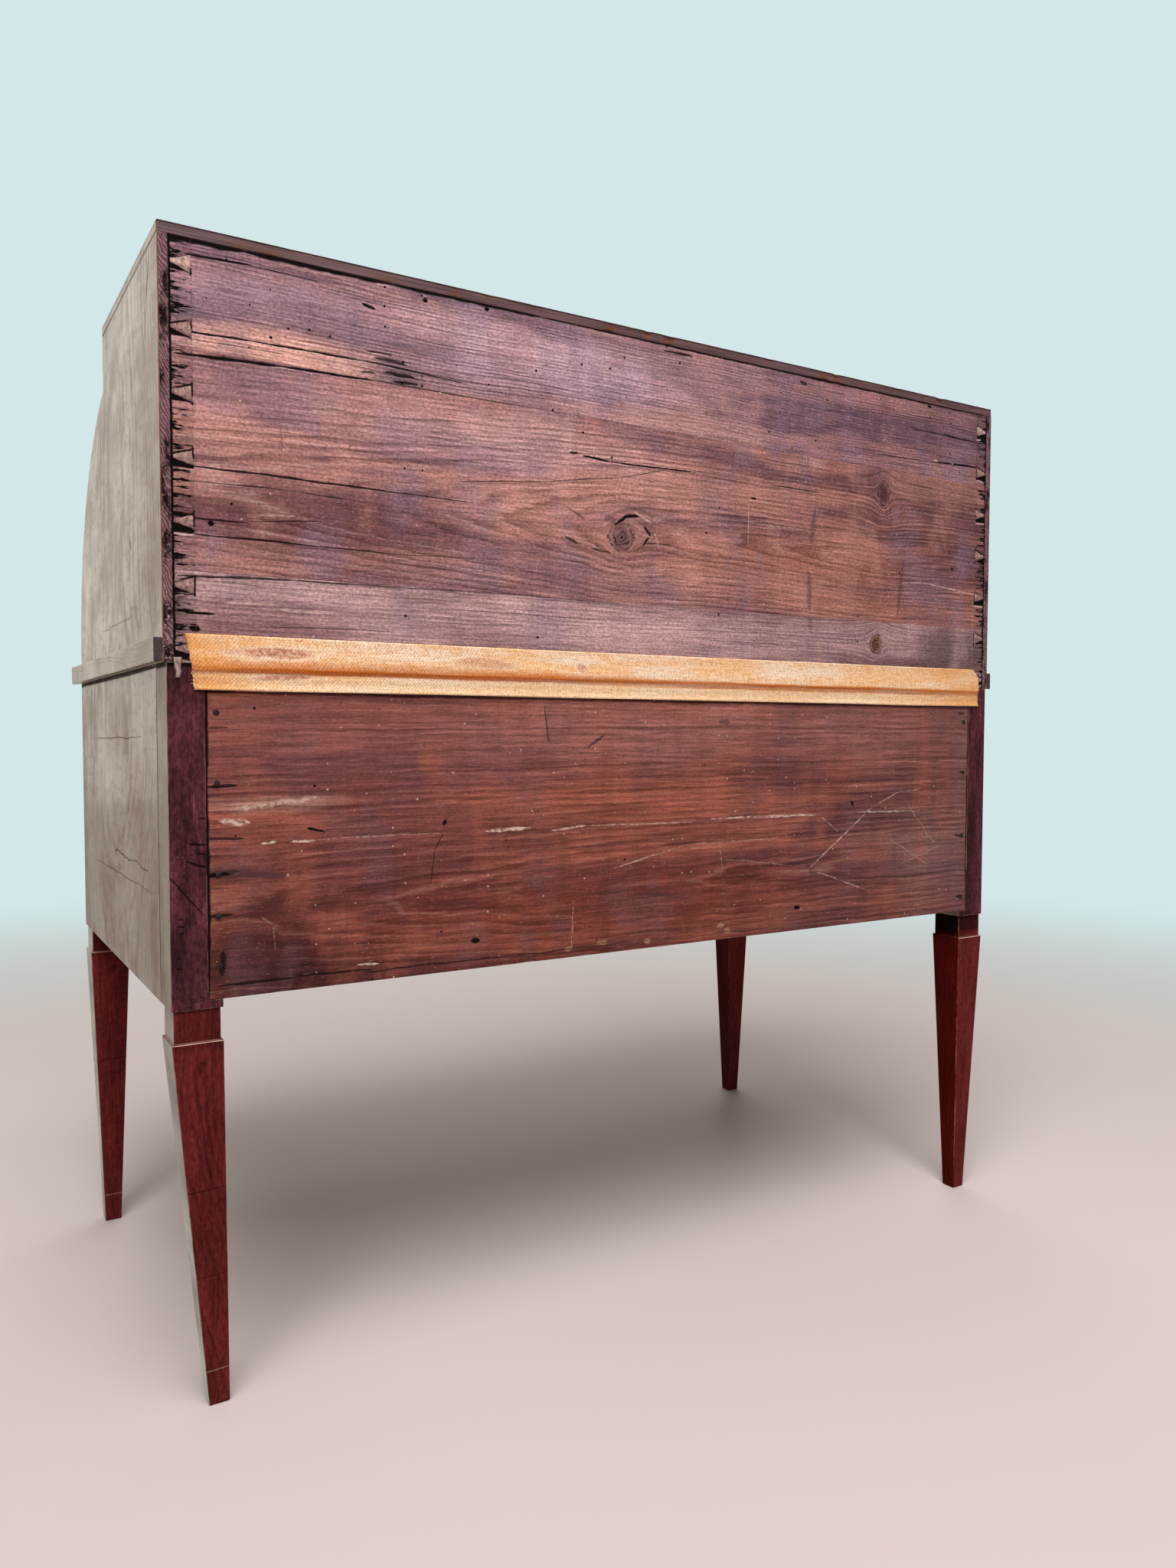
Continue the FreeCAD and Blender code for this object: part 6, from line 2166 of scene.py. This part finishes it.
@dataclass
class UpperCase(Assembly):
    """Upper sides, side mouldings, top board, front rail under it and pivot pins. Sizes are in mm.

    The splinter is given by its middle across the desk, its half width, how far it stands out, its length,
    how far it starts above the side's end, and its sections.
    """

    side_rounding: float = 0.45
    moulding_rounding: float = 1.1
    rail_rounding: float = 0.8
    step: float = 3.5
    splinter_across: float = 486.8
    splinter_half: float = 3.3
    splinter_proud: float = 2.0
    splinter_length: float = 16.5
    splinter_above: float = 4.0
    splinter_steps: int = 12

    def top_radius(self, x: float, number: int) -> float:
        """Rounding of the top board's edges, chipped along the back.

        Args:
            x: place along the board.
            number: which edge.

        Returns:
            The radius in metres.
        """
        chip = max(0.0, ragged(x, number + 21.0, 70.0) - 0.22) * (3.4 if x < 0.1 else 1.8)
        return (0.6 + 0.2 * ragged(x, number + 30.0, 18.0) + (chip if number in (0, 3) else 0.15 * chip)) * MM

    @staticmethod
    def top_choice(face: Face) -> int:
        """Which finish a face of the top board takes: 0 above and in front, 1 at the back, 2 at the ends."""
        return 2 if abs(face.normal.x) > 0.8 else faces_back(face)

    def splinter(self) -> None:
        """Torn spur at the lower end of the right side, hanging over the joint of the two cases."""
        low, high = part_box("upper_right_side")
        shape = bmesh.new()
        rows = []
        for i in range(self.splinter_steps + 1):
            share = i / self.splinter_steps
            z = low.z + (self.splinter_above - self.splinter_length * share) * MM
            middle = self.splinter_across + 0.6 * ragged(z, 41.0, 300.0)
            half = self.splinter_half * (1.0 - 0.45 * share) + 0.6 * ragged(z, 43.0, 500.0)
            proud = self.splinter_proud - 0.8 * share + 0.4 * ragged(z, 47.0, 600.0)
            outline = ((-1.0, 0.0), (-0.8, 0.7), (-0.1, 1.0), (0.7, 0.75), (1.0, 0.0))
            rows.append([
                shape.verts.new(((middle + half * x) * MM, high.y + proud * y * MM, z)) for x, y in outline
            ])
        loft(shape, rows)
        piece = self.bench.piece("torn_splinter", shape)
        self.bench.dress(piece, TORN_WOOD)
        self.bench.seat(piece, "upper_right_side", "veneer", stands_in=False)

    def build(self) -> None:
        """Makes and seats the pieces of the upper case."""
        bench = self.bench
        for hand in HANDS:
            bench.round_off(
                f"upper_{hand}_side", self.side_rounding, "veneer", UPPER_SIDE, TORN_EDGE,
                choice=faces_back,
            )
        self.splinter()
        for hand in HANDS:
            bench.round_off(f"{hand}_side_moulding", self.moulding_rounding, "veneer", MOULDING)
        board = bench.worn_board("top_board", self.top_radius, self.step)
        bench.dress(board, TOP_BOARD, TOP_EDGE, UPPER_SIDE, choice=self.top_choice)
        bench.seat(board, "top_board", "veneer")
        bench.round_off("facia_rail", self.rail_rounding, "veneer", FRONT_VENEER)
        bench.paint("pivot_pins", PIVOT_IRON)


@dataclass
class LowerCase(Assembly):
    """Legs, posts, side panels, rails, partitions, runners and dust board below. Sizes are in mm."""

    leg_rounding: float = 1.0
    post_rounding: float = 0.8
    panel_rounding: float = 0.5
    rail_rounding: float = 0.7
    runner_rounding: float = 0.6
    partition_rise: float = 8.0
    partition_corner: float = 10.0

    def build(self) -> None:
        """Makes and seats the pieces of the lower case."""
        bench = self.bench
        self.build_legs()
        for hand in HANDS:
            for end in ("front", "rear"):
                bench.round_off(
                    f"{end}_{hand}_post", self.post_rounding, "case_wood", POST_VENEER, REAR_POST_FACE,
                    choice=faces_back,
                )
            bench.round_off(f"lower_{hand}_side", self.panel_rounding, "veneer", PANEL_VENEER)
        for node in ("front_top_rail", "drawer_rails"):
            bench.round_off(node, self.rail_rounding, "case_wood", FRONT_VENEER)
        for hand in HANDS:
            self.build_partition(f"{hand}_partition")
        for node in ("drawer_runners", "dust_board"):
            bench.round_off(node, self.runner_rounding, "carcass_softwood", CARCASS)
        bench.paint("case_dowels", CARCASS)

    def build_partition(self, node: str) -> None:
        """Makes a partition whose lower edge rises towards the back, out of sight behind the back board.

        Args:
            node: the partition.
        """
        piece = self.bench.softened(node, self.rail_rounding)
        low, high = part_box(node)
        corner = self.partition_corner * MM
        for vertex in piece.data.vertices:
            if vertex.co.y > high.y - corner and vertex.co.z < low.z + corner:
                vertex.co.z += self.partition_rise * MM
        self.bench.dress(
            piece, PARTITION_WOOD, FRONT_VENEER, choice=lambda face: 1 if face.normal.y < -0.6 else 0,
        )
        self.bench.seat(piece, node, "carcass_softwood")

    def build_legs(self) -> None:
        """Makes and seats the four legs: polished outside and in front, dull behind, and dull with painted
        shade within.
        """
        for end in ("front", "rear"):
            for hand, inward in zip(HANDS, (1.0, -1.0)):
                self.bench.round_off(
                    f"{end}_{hand}_leg", self.leg_rounding, "leg_wood", LEG_WOOD, REAR_LEG_FACE,
                    SHADED_INNER_LEG_FACE, choice=functools.partial(self.leg_choice, inward),
                )

    @staticmethod
    def leg_choice(inward: float, face: Face) -> int:
        """Which finish a face of a leg takes, by the sign of the way inwards."""
        return 2 if face.normal.x * inward > 0.6 else faces_back(face)


@dataclass
class Nest(Assembly):
    """Pigeonholes under the cylinder, with a small drawer at each end. Sizes are in mm."""

    rounding: float = 0.5
    drawer_rounding: float = 0.35
    knob_from: float = 0.2

    def build(self) -> None:
        """Makes and seats the nest's pieces; each small drawer keeps its brass knob on its front."""
        for node in ("nest_floor", "nest_top", "nest_dividers"):
            self.bench.round_off(node, self.rounding, "inner_wood", NEST_WOOD)
        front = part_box("nest_dividers")[0].y - self.knob_from * MM
        for hand in HANDS:
            node = f"nest_{hand}_drawer"
            piece = self.bench.softened(node, self.drawer_rounding)
            self.bench.dress(piece, NEST_WOOD, BRASS, choice=lambda face: 1 if face.center.y < front else 0)
            for face in piece.data.polygons:
                face.use_smooth = abs(face.normal.y) < 0.999
            self.bench.seat(piece, node, "inner_wood")


@dataclass
class Drawers(Assembly):
    """Five drawers of the lower case: veneered fronts, lined boxes and turned knobs. Sizes are in mm."""

    front_rounding: float = 0.9
    box_rounding: float = 0.5
    knob_across: float = 120.0

    def build(self) -> None:
        """Makes and seats the drawers."""
        names = [f"{level}_{hand}_drawer" for level in ("lower", "upper") for hand in HANDS]
        for name in names + ["centre_drawer"]:
            self.bench.round_off(f"{name}_front", self.front_rounding, "veneer", DRAWER_VENEER)
            self.bench.round_off(f"{name}_box", self.box_rounding, "inner_wood", DRAWER_WOOD)
            low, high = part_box(f"{name}_front")
            node = f"{name}_knob"
            places = ((low.x + high.x) / 2,)
            if name == "centre_drawer":
                node = f"{name}_knobs"
                places = (-self.knob_across * MM, self.knob_across * MM)
            LARGE_KNOB.set(self.bench, node, [Vector((x, low.y, middle_height(node))) for x in places])


@dataclass
class Cylinder(Assembly):
    """Turning cylinder: coopered staves, bottom rail, ribs, iron arms and two knobs. Sizes are in mm."""

    pivot: Spot = (56.7, 668.0)
    radius: float = 271.0
    knob_across: float = 205.0
    stave_rounding: float = 0.3
    rail_rounding: float = 0.9
    rib_rounding: float = 0.5
    arm_rounding: float = 0.4

    def knob_direction(self) -> Vector:
        """Direction in which the knobs stand out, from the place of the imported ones.

        Returns:
            The direction.
        """
        low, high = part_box("cylinder_knobs")
        middle = (low + high) / 2
        angle = math.atan2(middle.z - self.pivot[1] * MM, self.pivot[0] * MM - middle.y)
        return Vector((0.0, -math.cos(angle), math.sin(angle)))

    def build(self) -> None:
        """Makes and seats the cylinder's pieces."""
        bench = self.bench
        bench.round_off("cylinder_staves", self.stave_rounding, "veneer", CYLINDER_VENEER)
        bench.round_off("cylinder_bottom_rail", self.rail_rounding, "veneer", CYLINDER_VENEER)
        bench.round_off("cylinder_ribs", self.rib_rounding, "inner_wood", NEST_WOOD)
        bench.round_off("cylinder_arms", self.arm_rounding, "iron", ARM_IRON)
        bench.paint("arm_screws", ARM_IRON)
        outward = self.knob_direction()
        foot = (Vector((0.0, *self.pivot)) + outward * self.radius) * MM
        across = Vector((self.knob_across * MM, 0.0, 0.0))
        LARGE_KNOB.set(bench, "cylinder_knobs", [foot - across, foot + across], outward)


@dataclass
class WritingSlide(Assembly):
    """Writing slide with its leather, its front moulding and two small knobs. Sizes are in mm."""

    knob_across: float = 330.0
    slide_rounding: float = 0.5
    leather_rounding: float = 0.3
    moulding_rounding: float = 1.4

    def build(self) -> None:
        """Makes and seats the slide's pieces."""
        bench = self.bench
        bench.round_off("writing_slide", self.slide_rounding, "inner_wood", SLIDE_WOOD)
        low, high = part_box("slide_leather")
        hide = Hide("writing leather", (low.x, low.y), (high.x, high.y))
        bench.round_off("slide_leather", self.leather_rounding, "leather", hide)
        bench.round_off("slide_front_moulding", self.moulding_rounding, "veneer", FRONT_VENEER)
        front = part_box("slide_front_moulding")[0].y
        height = middle_height("slide_knobs")
        places = (-self.knob_across * MM, self.knob_across * MM)
        SMALL_KNOB.set(bench, "slide_knobs", [Vector((x, front, height)) for x in places])


@dataclass(frozen=True)
class Lamp:
    """Large square lamp: where it hangs, where it points, the side of its square and its power in watts."""

    name: str
    place: Place
    aim: Place
    size: float
    power: float

    def hang(self) -> None:
        """Hangs the lamp."""
        data = bpy.data.lights.new(self.name, "AREA")
        data.shape = "SQUARE"
        data.size = self.size
        data.energy = self.power
        lamp = add_object(self.name, data)
        lamp.location = self.place
        lamp.rotation_euler = (Vector(self.aim) - Vector(self.place)).to_track_quat("-Z", "Y").to_euler()


@dataclass
class Studio(Assembly):
    """Plain pale floor, soft light and the camera."""

    camera_place: Place = (0.6787, 1.2156, 0.5859)
    azimuth: float = 148.54
    elevation: float = 2.58
    roll: float = 0.10
    lens: float = 25.68
    floor_radius: float = 9.0
    floor_height: float = -0.0003
    fade_from: float = 0.9
    fade_to: float = 3.2
    floor_colour: Colour = (0.70, 0.60, 0.57)
    backdrop: Colour = (0.65, 0.80, 0.81)
    mirrored: Colour = (0.90, 0.86, 0.74)
    mirrored_strength: float = 0.66
    dim_room: Colour = (0.20, 0.19, 0.19)
    ambient_colour: Colour = (1.0, 0.93, 0.88)
    ambient: float = 0.075
    lamps: tuple[Lamp, ...] = (
        Lamp("key lamp", (0.9, 1.7, 3.3), (0.0, 0.2, 0.65), 2.2, 131.0),
        Lamp("top lamp", (0.0, 0.2, 3.4), (0.0, 0.0, 0.0), 2.8, 24.0),
        Lamp("front lamp", (-1.2, -2.2, 2.8), (0.0, 0.0, 0.6), 2.2, 22.0),
    )

    def build(self) -> None:
        """Makes the floor, the light and the camera."""
        self.make_floor()
        self.make_world()
        for lamp in self.lamps:
            lamp.hang()
        self.make_camera()
        bpy.context.scene.view_settings.view_transform = "Standard"

    def make_floor(self) -> None:
        """Lays a round pale floor under the desk, which fades into the backdrop for the camera."""
        shape = bmesh.new()
        bmesh.ops.create_circle(shape, cap_ends=True, segments=96, radius=self.floor_radius)
        bmesh.ops.translate(shape, verts=shape.verts, vec=(0.0, 0.0, self.floor_height))
        mesh = bpy.data.meshes.new("floor")
        shape.to_mesh(mesh)
        shape.free()
        surface = Surface("pale floor", self.bench.effects)
        surface.feed(surface.shader, Base_Color=self.floor_colour, Roughness=0.55, Specular_IOR_Level=0.2)
        path = surface.feed(surface.add("ShaderNodeLightPath"))
        mirror = surface.add("ShaderNodeEmission", self.mirrored, self.mirrored_strength).outputs[0]
        distant = surface.add("ShaderNodeEmission", self.backdrop).outputs[0]
        near = surface.add("ShaderNodeMixShader", path["Is Glossy Ray"], surface.shader.outputs[0], mirror)
        beyond = surface.vector("LENGTH", surface.spot).fade(self.fade_from, self.fade_to)
        seen = beyond * path["Is Camera Ray"]
        merged = surface.add("ShaderNodeMixShader", seen, near.outputs[0], distant)
        surface.put(surface.output.inputs[0], merged.outputs[0])
        mesh.materials.append(surface.material)
        add_object("floor", mesh)

    def make_world(self) -> None:
        """Lights the desk from all round, with a pale backdrop for the camera and for reflections."""
        world = bpy.data.worlds.new("studio")
        world.use_nodes = True
        world.node_tree.nodes.clear()
        graph = Graph(world.node_tree)
        path = graph.feed(graph.add("ShaderNodeLightPath"))
        seen = graph.most(path["Is Camera Ray"], path["Is Glossy Ray"])
        towards = graph.split(graph.add("ShaderNodeTexCoord").outputs["Generated"])[1]
        room = graph.blend(towards.fade(-0.15, 0.55), self.mirrored, self.dim_room)
        shown = graph.blend(path["Is Glossy Ray"], self.backdrop, room)
        light = graph.add("ShaderNodeBackground", self.ambient_colour, self.ambient).outputs[0]
        backdrop = graph.add("ShaderNodeBackground", shown, 1.0).outputs[0]
        mix = graph.add("ShaderNodeMixShader", seen, light, backdrop)
        graph.add("ShaderNodeOutputWorld", mix.outputs[0])
        bpy.context.scene.world = world

    def make_camera(self) -> None:
        """Sets up the camera at the fitted angle."""
        data = bpy.data.cameras.new("camera")
        data.sensor_width = 36.0
        data.lens = self.lens
        data.clip_start = 0.02
        camera = add_object("camera", data)
        turn = math.radians(self.azimuth)
        rise = math.radians(self.elevation)
        outward = Vector((math.sin(turn) * math.cos(rise), -math.cos(turn) * math.cos(rise), math.sin(rise)))
        aim = (-outward).to_track_quat("-Z", "Y").to_matrix().to_4x4()
        rolled = aim @ Matrix.Rotation(math.radians(self.roll), 4, "Z")
        camera.matrix_world = Matrix.Translation(Vector(self.camera_place)) @ rolled
        bpy.context.scene.camera = camera


def main() -> None:
    """Loads the frame and builds every sub-assembly in order."""
    logging.basicConfig(level=logging.INFO, format="%(name)s: %(message)s")
    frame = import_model()
    bench = Bench(frame["nodes"], Effects(), Scatter("scatter"))
    Studio(bench).build()
    UpperBack(bench).build()
    LowerBack(bench).build()
    SeamTape(bench).build()
    UpperCase(bench).build()
    LowerCase(bench).build()
    Nest(bench).build()
    Drawers(bench).build()
    Cylinder(bench).build()
    WritingSlide(bench).build()


if __name__ == "__main__":
    main()
